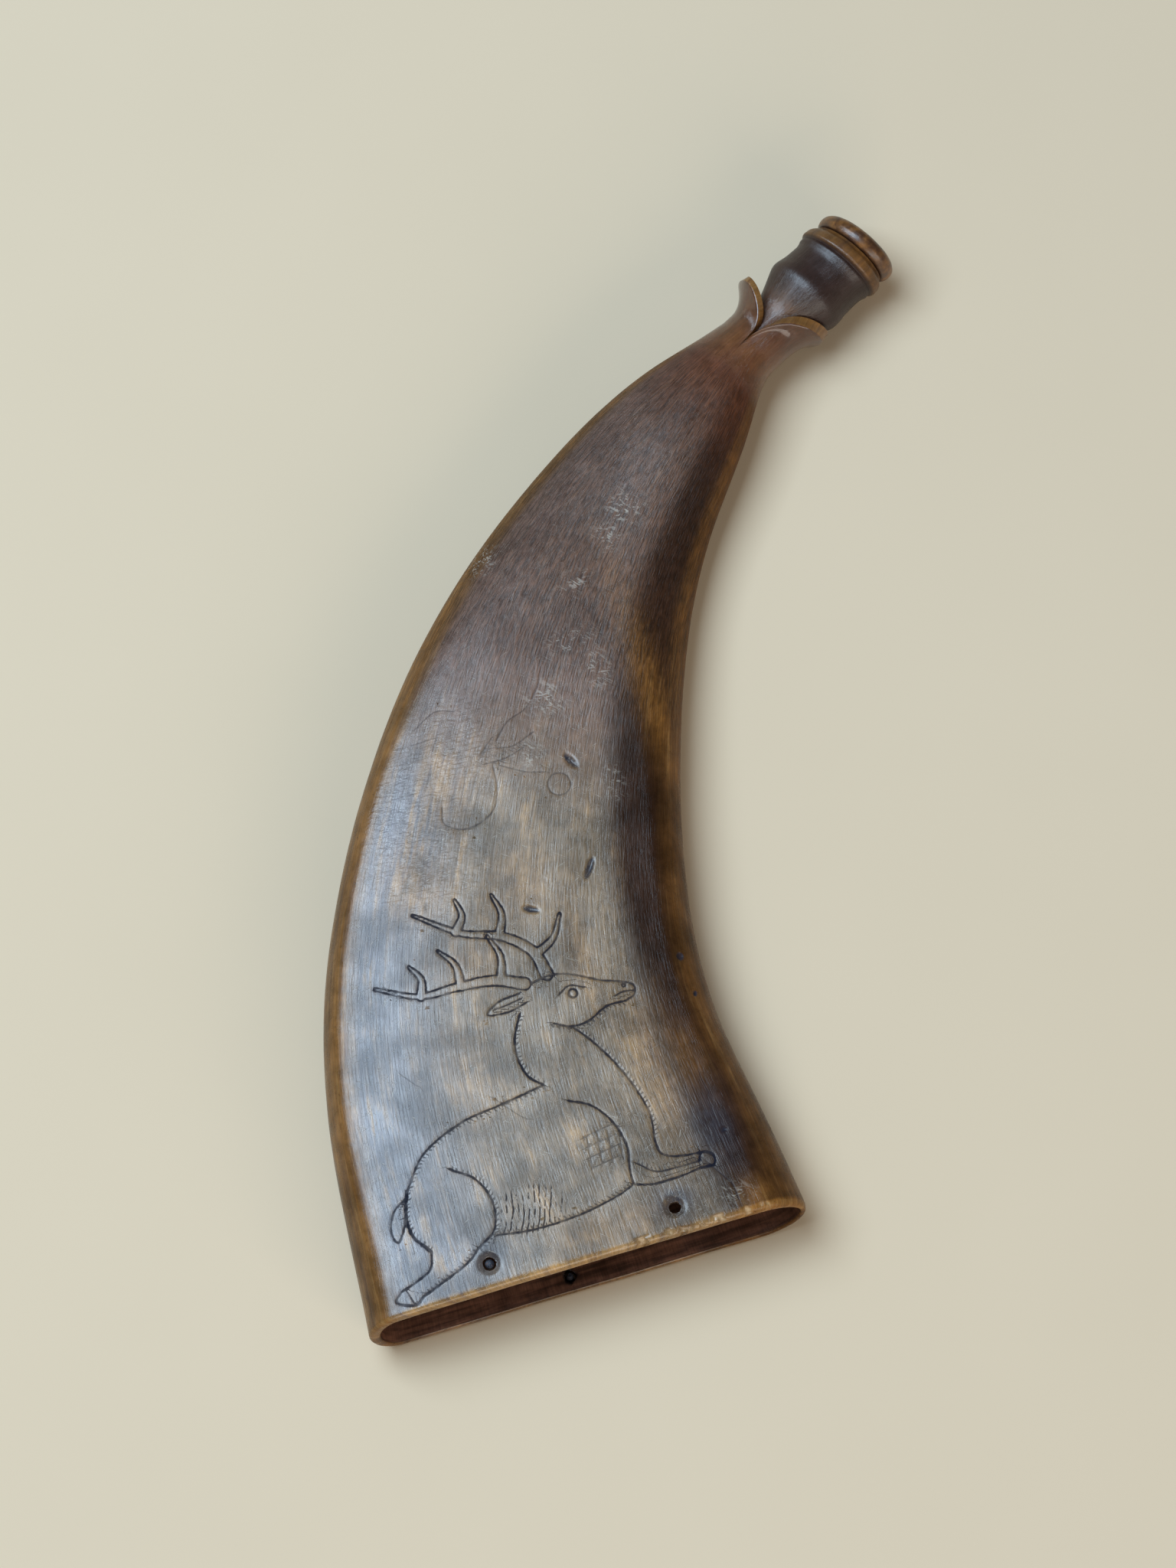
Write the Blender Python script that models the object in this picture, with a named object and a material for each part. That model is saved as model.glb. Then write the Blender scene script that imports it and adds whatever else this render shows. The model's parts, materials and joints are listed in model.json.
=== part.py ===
"""Flattened powder horn with a carved leaf collar, a turned spout, a stopper and two broken nails.

The horn lies on its flat back (z = 0) with its show face up. The open base faces -Y, the horn runs along +Y
and bends towards +X. The origin is on the resting plane, under the middle of the base rim's top edge.
Lengths in the constants are millimetres, and angles are degrees.
"""

import math

import bmesh
import bpy
import numpy as np

MILLIMETRE = 0.001

# Centreline of the pressed body, base to neck: x, y, half width, half thickness.
STATIONS = (
    (0.0, 0.0, 45.0, 11.0),
    (0.0, 43.5, 40.0, 10.3),
    (11.5, 86.0, 33.5, 9.6),
    (31.5, 123.0, 26.0, 9.0),
    (55.0, 150.0, 18.0, 8.4),
    (75.0, 166.0, 11.5, 7.8),
    (86.5, 173.5, 7.1, 7.1),
)
SPOUT_BEARING = 62.9          # of the spout's axis, from +Y towards +X
SPOUT_HEIGHT = 10.2           # of the spout's axis over the resting plane
WIDTH_SLOPE = (-0.11, -0.15)  # change of half width per millimetre at the base and at the neck
LIFT_START = 0.72             # share of the body's length where the back leaves the resting plane

# Section of the pressed body.
EDGE_LEFT = 4.5               # sideways reach of the rounded edge on the outside of the bend
EDGE_RIGHT = 7.5              # and on the inside of the bend
EDGE_BASE_EXTRA = 2.0         # added at the base, fading over EDGE_FADE
EDGE_FADE = 50.0
SHARPEST_EDGE = 1.5           # least sideways reach of an edge of the hollow
CROWN = 1.2                   # rise of the show face across its width
ROUND_START, ROUND_END = 0.45, 0.97
ARC_WEIGHT = 2.2              # how densely the rounded edges are sampled compared with the flats
WALL_BASE, WALL_NECK = 2.4, 3.6
RIM_CHAMFER = 0.8
RIM_SLANT = 2.0               # the back of the base rim stands this far beyond its top edge
RIM_SLANT_FADE = 25.0         # distance from the rim over which the slant dies out

# Bore of the spout, and where the hollow of the body narrows into it (measured back from the neck).
BORE_RADIUS = 4.0
BORE_END = 8.0
HOLLOW_END = 70.0

# Leaf collar: each leaf as tip length beyond the neck, start of its flare, flare at the tip.
LEAF_LEFT = (10.2, 2.3, 6.0)
LEAF_RIGHT = (14.3, 5.0, 3.9)
LEAF_NOTCH = -1.3             # where the two leaves meet, front and back
LEAF_FULLNESS = 0.26          # smaller makes the notch narrower
LEAF_THICKNESS = 1.3
LEAF_ROOT = 1.0               # bottom of the pocket between leaf and spout
LEAF_BLEND = 7.0              # distance before the neck where the leaf's rings start

# Turned outline of the spout beyond the neck: distance along the axis, radius.
SPOUT_OUTLINE = (
    (2.5, 5.3),
    (6.0, 5.5),
    (9.0, 5.9),
    (12.0, 7.0),
    (14.5, 8.1),
    (16.8, 9.0),
    (18.5, 8.7),
    (21.5, 8.4),
    (24.6, 8.7),
    (25.8, 9.2),
    (26.8, 9.4),
    (28.0, 9.1),
    (28.7, 8.4),
)
MOUTH = 29.2                  # flat mouth of the spout, where the stopper's head sits
MOUTH_RADIUS = 8.2
MOUTH_SLANT = 6.5             # the rings are cut this far off square
SLANT_START, SLANT_END = 12.0, 26.0

# Stopper: head outline beyond the mouth (distance, radius) and the shank that fills the bore.
SEAT_GAP = 0.3
STOPPER_HEAD = (
    (0.0, 8.2),
    (0.7, 8.8),
    (1.5, 9.0),
    (2.4, 8.9),
    (3.1, 8.4),
    (3.6, 7.3),
    (4.0, 5.2),
    (4.3, 2.6),
)
STOPPER_TOP = (4.45, 0.8)
SHANK_RADIUS = (3.7, 3.3)
SHANK_LENGTH = 14.0
SHANK_ROUNDING = 0.8

# Nail holes: x, y, radius. The walls are pierced one at a time.
FRONT_HOLES = ((-18.5, 5.1, 1.3), (19.4, 5.3, 1.15))
BACK_HOLES = ((-3.3, 1.3, 1.2),)
HOLE_FLARE = 0.5              # extra radius at the outer face, where the edge is worn
STUB_GAP = 0.3
STUB_RECESS = 0.35            # of the broken end below the outer face
STUB_LENGTH = 4.0
STUB_TAPER = 0.7

AROUND = 40                   # points around each ring of the horn
STOPPER_SIDES = 40
STUB_SIDES = 10
CUTTER_SIDES = 20


def smoothstep(low, high, value):
    """Zero below low, one above high, smooth in between."""
    share = np.clip((value - low) / (high - low), 0.0, 1.0)
    return share * share * (3.0 - 2.0 * share)


def clamped_spline(knots, values, start_slope, end_slope):
    """Cubic curve through the values with fixed end slopes. Returns a function giving value and slope."""
    knots = np.asarray(knots, dtype=float)
    values = np.asarray(values, dtype=float)
    steps = np.diff(knots)
    secants = np.diff(values) / steps
    count = len(knots)
    matrix = np.eye(count)
    right = np.zeros(count)
    right[0] = start_slope
    right[-1] = end_slope
    for i in range(1, count - 1):
        matrix[i, i - 1:i + 2] = (steps[i], 2.0 * (steps[i - 1] + steps[i]), steps[i - 1])
        right[i] = 3.0 * (secants[i - 1] * steps[i] + secants[i] * steps[i - 1])
    slopes = np.linalg.solve(matrix, right)

    def evaluate(position):
        i = np.clip(np.searchsorted(knots, position, side="right") - 1, 0, count - 2)
        step = steps[i]
        t = (position - knots[i]) / step
        change = values[i + 1] - values[i]
        bend_in = step * slopes[i] - change
        bend_out = change - step * slopes[i + 1]
        value = values[i] + t * change + t * (1 - t) * ((1 - t) * bend_in + t * bend_out)
        slope = (change + (1 - 2 * t) * ((1 - t) * bend_in + t * bend_out)
                 + t * (1 - t) * (bend_out - bend_in)) / step
        return value, slope

    return evaluate


def body_curves():
    """Length of the body's centreline, and its x, y, half width and half thickness as curves along it."""
    x, y, width, thickness = np.array(STATIONS).T
    along = np.concatenate(([0.0], np.cumsum(np.hypot(np.diff(x), np.diff(y)))))
    bearing = math.radians(SPOUT_BEARING)
    curves = (
        clamped_spline(along, x, 0.0, math.sin(bearing)),
        clamped_spline(along, y, 1.0, math.cos(bearing)),
        clamped_spline(along, width, *WIDTH_SLOPE),
        clamped_spline(along, thickness, -0.015, -0.03),
    )
    return along[-1], curves


BODY_LENGTH, (CENTRE_X, CENTRE_Y, HALF_WIDTH, HALF_THICKNESS) = body_curves()


def body_size(along):
    """Half width and half thickness of the body, held at the neck's values beyond the neck."""
    inside = np.minimum(along, BODY_LENGTH)
    return HALF_WIDTH(inside)[0], HALF_THICKNESS(inside)[0]


def centre_height(along):
    """Height of the centreline: the back rests on z = 0 and lifts off towards the neck."""
    half_thickness = body_size(along)[1]
    lift = SPOUT_HEIGHT - STATIONS[-1][3]
    return half_thickness + lift * smoothstep(LIFT_START * BODY_LENGTH, BODY_LENGTH, along)


def place(along, sideways, upwards):
    """World millimetres of a point along the centreline, sideways to its left and up from it."""
    inside = np.minimum(along, BODY_LENGTH)
    beyond = along - inside
    x, x_slope = CENTRE_X(inside)
    y, y_slope = CENTRE_Y(inside)
    size = np.hypot(x_slope, y_slope)
    forward_x, forward_y = x_slope / size, y_slope / size
    slant = math.tan(math.radians(MOUTH_SLANT)) * smoothstep(SLANT_START, SLANT_END, beyond)
    beyond = beyond - slant * sideways
    world_x = x + forward_x * beyond - forward_y * sideways
    world_y = y + forward_y * beyond + forward_x * sideways
    world_z = centre_height(along) + upwards
    depth_share = 1.0 - world_z / (2.0 * STATIONS[0][3])
    world_y = world_y - RIM_SLANT * depth_share * (1.0 - smoothstep(0.0, RIM_SLANT_FADE, along))
    return np.stack((world_x, world_y, world_z), axis=-1)


def oval(angle, half_width, half_thickness, edge_left, edge_right, crown):
    """Flattened oval at an angle from the top, turning left: sideways and upwards offsets."""
    left = np.sin(angle) >= 0.0
    top = np.cos(angle) >= 0.0
    edge = np.minimum(np.where(left, edge_left, edge_right), half_width)
    flat = half_width - edge
    arc = 0.25 * math.pi * (edge + half_thickness)
    arc_share = ARC_WEIGHT * arc / (ARC_WEIGHT * arc + flat)
    from_vertical = np.arcsin(np.clip(np.abs(np.sin(angle)), 0.0, 1.0)) / (0.5 * math.pi)
    on_flat = np.clip(from_vertical / np.maximum(1.0 - arc_share, 1e-9), 0.0, 1.0)
    turn = np.clip((from_vertical - 1.0 + arc_share) / arc_share, 0.0, 1.0) * 0.5 * math.pi
    flat_reach = flat * on_flat
    sideways = flat_reach + edge * np.sin(turn)
    drop = np.where(top, crown * (flat_reach / half_width) ** 2, 0.0)
    upwards = (half_thickness - drop) * np.cos(turn)
    return np.where(left, sideways, -sideways), np.where(top, upwards, -upwards)


def edge_reach(along, half_width, reach):
    """Sideways reach of a rounded edge: more at the base, and the whole half width at the neck."""
    roundness = smoothstep(ROUND_START * BODY_LENGTH, ROUND_END * BODY_LENGTH, along)
    pressed = reach + EDGE_BASE_EXTRA * (1.0 - smoothstep(0.0, EDGE_FADE, along))
    return pressed + (half_width - pressed) * roundness


def shell_ring(along, angle, inset_sides, inset_walls):
    """A ring of the body's surface, or of a surface inset from it."""
    along = along + 0.0 * angle
    half_width, half_thickness = body_size(along)
    roundness = smoothstep(ROUND_START * BODY_LENGTH, ROUND_END * BODY_LENGTH, along)
    edges = [
        np.maximum(edge_reach(along, half_width, reach) - inset_sides, SHARPEST_EDGE)
        for reach in (EDGE_LEFT, EDGE_RIGHT)
    ]
    crown = CROWN * (1.0 - roundness)
    sideways, upwards = oval(angle, half_width - inset_sides, half_thickness - inset_walls, *edges, crown)
    return place(along, sideways, upwards)


def round_ring(along, angle, radius):
    """A ring round the centreline."""
    return place(along + 0.0 * angle, radius * np.sin(angle), radius * np.cos(angle))


def leaf_length(angle):
    """How far the leaf collar reaches beyond the neck at an angle from the top."""
    reach = np.where(np.sin(angle) >= 0.0, LEAF_LEFT[0], LEAF_RIGHT[0])
    return LEAF_NOTCH + (reach - LEAF_NOTCH) * np.abs(np.sin(angle)) ** LEAF_FULLNESS


def leaf_flare(beyond, angle):
    """How far the leaf stands out from the neck's round surface."""
    left = np.sin(angle) >= 0.0
    reach, start, flare = (np.where(left, a, b) for a, b in zip(LEAF_LEFT, LEAF_RIGHT))
    return flare * np.clip((beyond - start) / (reach - start), 0.0, 1.1) ** 2


def leaf_ring(beyond, angle, depth):
    """A ring of the leaf collar, at a depth under its outer surface."""
    return shell_ring(BODY_LENGTH + beyond, angle, depth - leaf_flare(beyond, angle),
                      depth - leaf_flare(beyond, angle))


def horn_rings():
    """Closed sequence of rings: outside from base to mouth, then the bore and the hollow back to the base."""
    angle = np.arange(AROUND) * 2.0 * math.pi / AROUND
    tip = leaf_length(angle)
    root = np.minimum(LEAF_ROOT, tip - 0.35)
    start = BODY_LENGTH - LEAF_BLEND
    rings = [shell_ring(0.0, angle, RIM_CHAMFER, RIM_CHAMFER)]
    for along in np.concatenate(([RIM_CHAMFER], np.linspace(7.0, start, 27))):
        rings.append(shell_ring(along, angle, 0.0, 0.0))
    for share in np.linspace(1.0 / 7.0, 1.0, 7):
        rings.append(leaf_ring(-LEAF_BLEND + (tip + LEAF_BLEND) * share, angle, 0.0))
    rings.append(leaf_ring(tip + 0.45, angle, 0.5 * LEAF_THICKNESS))
    for share in np.linspace(0.0, 1.0, 6):
        rings.append(leaf_ring(tip + (root - tip) * share, angle, LEAF_THICKNESS))
    first_along, first_radius = SPOUT_OUTLINE[0]
    rings.append(round_ring(BODY_LENGTH + root - 0.2, angle, first_radius + 0.25))
    rings.append(round_ring(BODY_LENGTH + root + 0.1, angle, first_radius))
    for along, radius in SPOUT_OUTLINE:
        rings.append(round_ring(BODY_LENGTH + along, angle, radius))
    rings.append(round_ring(BODY_LENGTH + MOUTH, angle, MOUTH_RADIUS))
    for along in (MOUTH, 22.0, 12.0, 2.0, -BORE_END):
        rings.append(round_ring(BODY_LENGTH + along, angle, BORE_RADIUS))
    for along in np.linspace(BODY_LENGTH - BORE_END, 0.0, 24)[1:]:
        rings.append(hollow_ring(along, angle))
    return rings


def hollow_ring(along, angle):
    """A ring of the hollow: a wall's thickness inside the body, narrowing to the bore at the neck."""
    half_width, half_thickness = body_size(along)
    wall = WALL_BASE + (WALL_NECK - WALL_BASE) * along / BODY_LENGTH
    open_share = 1.0 - smoothstep(BODY_LENGTH - HOLLOW_END, BODY_LENGTH - BORE_END, along)
    inner_width = BORE_RADIUS + (half_width - wall - BORE_RADIUS) * open_share
    inner_thickness = BORE_RADIUS + (half_thickness - wall - BORE_RADIUS) * open_share
    return shell_ring(along, angle, half_width - inner_width, half_thickness - inner_thickness)


def material(name, colour, roughness, metallic=0.0):
    """A plain principled material."""
    result = bpy.data.materials.new(name)
    result.use_nodes = True
    shader = result.node_tree.nodes["Principled BSDF"]
    shader.inputs["Base Color"].default_value = (*colour, 1.0)
    shader.inputs["Roughness"].default_value = roughness
    shader.inputs["Metallic"].default_value = metallic
    return result


def add_object(name, mesh_data, surface=None):
    """Turn a bmesh into a scene object with its faces pointing out."""
    bmesh.ops.recalc_face_normals(mesh_data, faces=mesh_data.faces[:])
    mesh = bpy.data.meshes.new(name)
    mesh_data.to_mesh(mesh)
    mesh_data.free()
    mesh.shade_smooth()
    mesh.set_sharp_from_angle(angle=math.radians(40.0))
    result = bpy.data.objects.new(name, mesh)
    bpy.context.scene.collection.objects.link(result)
    if surface is not None:
        mesh.materials.append(surface)
    return result


def add_ring_vertices(mesh_data, ring):
    """One vertex for each point of a ring given in millimetres."""
    return [mesh_data.verts.new(point * MILLIMETRE) for point in ring]


def bridge(mesh_data, first, second):
    """Quads between two rings of equal length."""
    for i in range(len(first)):
        j = (i + 1) % len(first)
        mesh_data.faces.new((first[i], first[j], second[j], second[i]))


def turned_mesh(outline, sides, slanted=False):
    """A solid turned round local Z from (height, radius) pairs, closed by flat ends."""
    mesh_data = bmesh.new()
    slant = math.tan(math.radians(MOUTH_SLANT)) if slanted else 0.0
    rings = []
    for height, radius in outline:
        ring = []
        for i in range(sides):
            angle = 2.0 * math.pi * i / sides
            sideways, upwards = radius * math.sin(angle), radius * math.cos(angle)
            ring.append(np.array((sideways, upwards, height - slant * sideways)))
        rings.append(add_ring_vertices(mesh_data, ring))
    for first, second in zip(rings, rings[1:]):
        bridge(mesh_data, first, second)
    mesh_data.faces.new(rings[0])
    mesh_data.faces.new(rings[-1])
    return mesh_data


def nail_hole_cutter(name, x, y, radius, face_height, outward):
    """A hidden cutter through one wall, flared at the outer face. outward is +1 for up, -1 for down."""
    reach = 6.0
    outline = (
        (-reach, radius),
        (-0.8, radius),
        (0.4, radius + 1.5 * HOLE_FLARE),
        (1.5, radius + 1.5 * HOLE_FLARE),
    )
    cutter = add_object(name, turned_mesh(outline, CUTTER_SIDES))
    cutter.location = (x * MILLIMETRE, y * MILLIMETRE, face_height * MILLIMETRE)
    cutter.rotation_euler = (0.0 if outward > 0 else math.pi, 0.0, 0.0)
    cutter.hide_render = True
    cutter.display_type = "WIRE"
    return cutter


def face_height(x, y):
    """Height of the show face near the base, above a point of the resting plane."""
    half_width, half_thickness = body_size(y)
    return 2.0 * half_thickness - CROWN * (x / half_width) ** 2


def make_horn_body(surface):
    """The horn: body, leaf collar and spout in one piece, with its nail holes bored."""
    mesh_data = bmesh.new()
    rings = [add_ring_vertices(mesh_data, ring) for ring in horn_rings()]
    for first, second in zip(rings, rings[1:] + rings[:1]):
        bridge(mesh_data, first, second)
    body = add_object("horn_body", mesh_data, surface)
    cutters = [
        nail_hole_cutter(f"front_hole_cutter_{i}", x, y, radius, face_height(x, y), 1)
        for i, (x, y, radius) in enumerate(FRONT_HOLES)
    ]
    cutters += [
        nail_hole_cutter(f"back_hole_cutter_{i}", x, y, radius, 0.0, -1)
        for i, (x, y, radius) in enumerate(BACK_HOLES)
    ]
    for cutter in cutters:
        cut = body.modifiers.new(cutter.name, "BOOLEAN")
        cut.operation = "DIFFERENCE"
        cut.solver = "EXACT"
        cut.object = cutter
    return body


def make_stopper(surface):
    """The stopper, with its local Z on the spout's axis and its origin at the middle of the mouth."""
    outline = [
        (-SHANK_LENGTH, SHANK_RADIUS[1] - SHANK_ROUNDING),
        (-SHANK_LENGTH + SHANK_ROUNDING, SHANK_RADIUS[1]),
        (SEAT_GAP, SHANK_RADIUS[0]),
    ]
    outline += [(SEAT_GAP + height, radius) for height, radius in (*STOPPER_HEAD, STOPPER_TOP)]
    stopper = add_object("spout_stopper", turned_mesh(outline, STOPPER_SIDES, slanted=True), surface)
    mouth = place(np.array(BODY_LENGTH + MOUTH), np.array(0.0), np.array(0.0))
    bearing = math.radians(SPOUT_BEARING)
    stopper.location = [value * MILLIMETRE for value in mouth]
    stopper.rotation_euler = (math.radians(90.0), 0.0, math.radians(180.0) - bearing)
    return stopper


def make_nail_stub(name, x, y, radius, outer_height, outward, surface):
    """A broken nail shank in its hole, tapering inwards. outward is +1 in the front wall, -1 in the back."""
    thick = radius - STUB_GAP
    outline = (
        (-STUB_RECESS - STUB_LENGTH, thick * STUB_TAPER * 0.6),
        (-STUB_RECESS - STUB_LENGTH + 0.5, thick * STUB_TAPER),
        (-STUB_RECESS - 0.3, thick),
        (-STUB_RECESS, thick * 0.7),
    )
    stub = add_object(name, turned_mesh(outline, STUB_SIDES), surface)
    stub.location = (x * MILLIMETRE, y * MILLIMETRE, outer_height * MILLIMETRE)
    stub.rotation_euler = (0.0 if outward > 0 else math.pi, 0.0, 0.0)
    return stub


def main():
    for old in list(bpy.data.objects):
        bpy.data.objects.remove(old, do_unlink=True)
    horn = material("horn", (0.10, 0.055, 0.028), 0.35)
    stopper_horn = material("stopper_horn", (0.22, 0.10, 0.03), 0.4)
    iron = material("iron", (0.02, 0.022, 0.03), 0.35, 0.9)
    make_horn_body(horn)
    make_stopper(stopper_horn)
    front_x, front_y, front_radius = FRONT_HOLES[0]
    make_nail_stub("nail_stub_front", front_x, front_y, front_radius, face_height(front_x, front_y), 1, iron)
    back_x, back_y, back_radius = BACK_HOLES[0]
    make_nail_stub("nail_stub_back", back_x, back_y, back_radius, 0.0, -1, iron)


main()
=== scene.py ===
"""Looks of the flattened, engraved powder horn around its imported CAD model.

The horn, its stopper and its two broken nails are rebuilt as fine meshes in the places of the CAD nodes.
Lengths are millimetres in the row frame. Angles in constants are degrees. Comments name the exceptions.
"""

import functools
import json
import math

import bmesh
import bpy
import numpy as np
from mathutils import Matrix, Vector, kdtree, noise


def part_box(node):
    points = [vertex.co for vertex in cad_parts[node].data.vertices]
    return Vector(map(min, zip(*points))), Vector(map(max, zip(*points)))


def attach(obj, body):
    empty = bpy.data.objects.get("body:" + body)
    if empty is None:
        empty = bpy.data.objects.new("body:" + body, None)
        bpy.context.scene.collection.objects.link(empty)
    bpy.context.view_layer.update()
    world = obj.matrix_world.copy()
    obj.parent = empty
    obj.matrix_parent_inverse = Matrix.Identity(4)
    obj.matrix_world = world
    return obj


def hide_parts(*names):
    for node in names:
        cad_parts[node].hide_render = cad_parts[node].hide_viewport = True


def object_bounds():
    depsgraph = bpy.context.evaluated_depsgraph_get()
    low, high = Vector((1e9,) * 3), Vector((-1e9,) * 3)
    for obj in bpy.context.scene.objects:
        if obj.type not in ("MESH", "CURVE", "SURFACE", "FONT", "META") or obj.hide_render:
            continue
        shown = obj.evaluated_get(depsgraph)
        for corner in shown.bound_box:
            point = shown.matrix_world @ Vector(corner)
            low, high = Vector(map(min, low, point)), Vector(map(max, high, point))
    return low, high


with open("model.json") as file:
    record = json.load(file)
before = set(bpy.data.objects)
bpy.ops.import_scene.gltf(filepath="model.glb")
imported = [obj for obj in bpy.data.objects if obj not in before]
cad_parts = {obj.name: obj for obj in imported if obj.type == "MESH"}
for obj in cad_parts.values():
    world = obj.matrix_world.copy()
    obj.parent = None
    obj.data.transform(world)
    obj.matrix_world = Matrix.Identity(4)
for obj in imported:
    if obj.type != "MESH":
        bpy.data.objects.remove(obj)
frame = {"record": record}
CAD_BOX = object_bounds()

MILLIMETRE = 0.001

# Centreline of the pressed body, base to neck: x, y, half width, half thickness.
STATIONS = (
    (0.0, 0.0, 45.0, 11.0),
    (0.0, 43.5, 40.0, 10.3),
    (11.5, 86.0, 33.5, 9.6),
    (31.5, 123.0, 26.0, 9.0),
    (55.0, 150.0, 18.0, 8.4),
    (75.0, 166.0, 11.5, 7.8),
    (86.5, 173.5, 7.1, 7.1),
)
SPOUT_BEARING = 62.9          # of the spout's axis, from +Y towards +X
SPOUT_HEIGHT = 10.2
WIDTH_SLOPE = (-0.11, -0.15)  # of the half width, at the base and at the neck
THICKNESS_SLOPE = (-0.015, -0.03)
LIFT_START = 0.72             # share of the body's length at which it starts to rise to the spout's height

# Section of the pressed body.
EDGE_REACHES = (4.5, 7.5)     # sideways reach of the rounded edge, left and right
EDGE_BASE_EXTRA = 2.0
EDGE_FADE = 50.0
SHARPEST_EDGE = 1.5
CROWN = 1.2
ROUND_START, ROUND_END = 0.45, 0.97   # shares of the length between which the section becomes round
ARC_WEIGHT = 1.4              # how densely points lie on the edges, compared with the flats
WALL_BASE, WALL_NECK = 2.4, 3.6
WALL_SIDES = (2.3, 1.4)       # of the left and the right side at the base
SIDE_WALL_FADE = 60.0         # distance from the rim over which the sides reach the walls' thickness
RIM_ROUND_OUTSIDE = 1.2       # along the horn
RIM_ROUND_INSIDE = 0.5
ROUND_SHARE_OUTSIDE = 0.5     # of the wall that the rounding takes
ROUND_SHARE_INSIDE = 0.2
RIM_SLANT = 2.0
RIM_SLANT_FADE = 25.0
BORE_RADIUS = 4.0
BORE_END = 8.0
HOLLOW_END = 70.0

# Leaf collar: each leaf as tip length beyond the neck, start of its flare, flare at the tip.
LEAF_LEFT = (9.7, 2.3, 5.8)
LEAF_RIGHT = (14.3, 5.0, 3.9)
LEAF_NOTCH = -1.3
LEAF_FULLNESS = (0.27, 0.36)  # smaller is blunter: left and right
LEAF_SHOULDER = (0.6, 0.0)    # extra length beside the tip, left and right
SHOULDER_AT, SHOULDER_SPREAD = 0.8, 0.35   # radians from the top
LEAF_THICKNESS = 1.3          # at its root
LEAF_TIP = (2.1, 1.8)         # thickness at the tip, left and right
LEAF_NOTCH_THICKNESS = 0.9
LEAF_BEVEL = (1.3, 2.3)       # how far the cut edge slopes back on the outside, left and right
LEAF_LIP = (0.3, 0.75)        # how far the leaf rolls out along that edge, left and right
LEAF_LIP_WIDTH = 1.5
LEAF_CREASE_RADIUS = 0.5
LEAF_CURL = (0.95, 0.16, 0.5) # outward curl on the left leaf: angle and spread in radians, height
LEAF_ROOT = 1.0               # beyond the neck, where the leaves' inside meets the spout
LEAF_BLEND = 7.0              # before the neck, where the leaves' own rings start

# Turned outline of the spout beyond the neck: distance along the axis, radius.
SPOUT_OUTLINE = (
    (2.5, 5.3), (6.0, 5.5), (9.0, 5.9), (12.0, 7.1), (14.5, 8.25), (16.5, 8.88), (18.0, 8.75), (19.6, 8.5),
    (21.8, 8.4), (24.2, 8.62), (25.2, 8.8), (25.5, 8.72), (25.9, 9.15), (26.8, 9.4), (27.9, 9.15),
    (28.7, 8.4),
)
SPOUT_SLOPE = (0.02, -1.2)    # of the radius, at the outline's ends
MOUTH = 29.2
MOUTH_RADIUS = 8.2
MOUTH_SLANT = 6.5             # of the rings near the mouth against the axis
SLANT_START, SLANT_END = 12.0, 26.0

# Nail holes: x, y, radius.
FRONT_HOLES = ((-18.5, 5.1, 1.3), (19.4, 5.3, 1.15))
BACK_HOLES = ((-3.3, 1.3, 1.2),)
HOLE_WEAR = (1.5, 0.55)       # width and depth of the worn ring round a hole

AROUND = 176                  # points round each ring of the horn
RIM_RINGS_END = 4.0           # the rings are closest together up to here
ENGRAVED_END = 98.0           # and closer together up to here
RING_STEP_RIM, RING_STEP_FINE, RING_STEP_COARSE = 0.45, 1.4, 2.1
REFINE_REACH = (1.7, 1.0, 0.75)   # distance from a cut line within which each refinement splits the faces
FACE_HEIGHT = 9.0             # the show face lies above this

# What the vertices belong to.
BODY, RIM, LEAF_OUT, LEAF_EDGE, LEAF_IN, SPOUT, BORE, HOLLOW, HOLE_WALL = range(9)
KIND_SLACK = 0.01             # for kinds that have been averaged in single precision


def smoothstep(low, high, value):
    """Zero below low, one above high, smooth in between."""
    share = np.clip((value - low) / (high - low), 0.0, 1.0)
    return share * share * (3.0 - 2.0 * share)


def clamped_spline(knots, values, start_slope, end_slope):
    """Cubic curve through the values with fixed end slopes. Returns a function giving value and slope."""
    knots = np.asarray(knots, dtype=float)
    values = np.asarray(values, dtype=float)
    steps = np.diff(knots)
    secants = np.diff(values) / steps
    count = len(knots)
    matrix = np.eye(count)
    right = np.zeros(count)
    right[0] = start_slope
    right[-1] = end_slope
    for i in range(1, count - 1):
        matrix[i, i - 1:i + 2] = (steps[i], 2.0 * (steps[i - 1] + steps[i]), steps[i - 1])
        right[i] = 3.0 * (secants[i - 1] * steps[i] + secants[i] * steps[i - 1])
    slopes = np.linalg.solve(matrix, right)

    def evaluate(position):
        i = np.clip(np.searchsorted(knots, position, side="right") - 1, 0, count - 2)
        step = steps[i]
        t = (position - knots[i]) / step
        change = values[i + 1] - values[i]
        bend_in = step * slopes[i] - change
        bend_out = change - step * slopes[i + 1]
        value = values[i] + t * change + t * (1 - t) * ((1 - t) * bend_in + t * bend_out)
        slope = (change + (1 - 2 * t) * ((1 - t) * bend_in + t * bend_out)
                 + t * (1 - t) * (bend_out - bend_in)) / step
        return value, slope

    return evaluate


def body_curves():
    """Length of the body's centreline, and its x, y, half width and half thickness as curves along it."""
    x, y, width, thickness = np.array(STATIONS).T
    along = np.concatenate(([0.0], np.cumsum(np.hypot(np.diff(x), np.diff(y)))))
    bearing = math.radians(SPOUT_BEARING)
    curves = (
        clamped_spline(along, x, 0.0, math.sin(bearing)),
        clamped_spline(along, y, 1.0, math.cos(bearing)),
        clamped_spline(along, width, *WIDTH_SLOPE),
        clamped_spline(along, thickness, *THICKNESS_SLOPE),
    )
    return along[-1], curves


BODY_LENGTH, (CENTRE_X, CENTRE_Y, HALF_WIDTH, HALF_THICKNESS) = body_curves()


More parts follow.
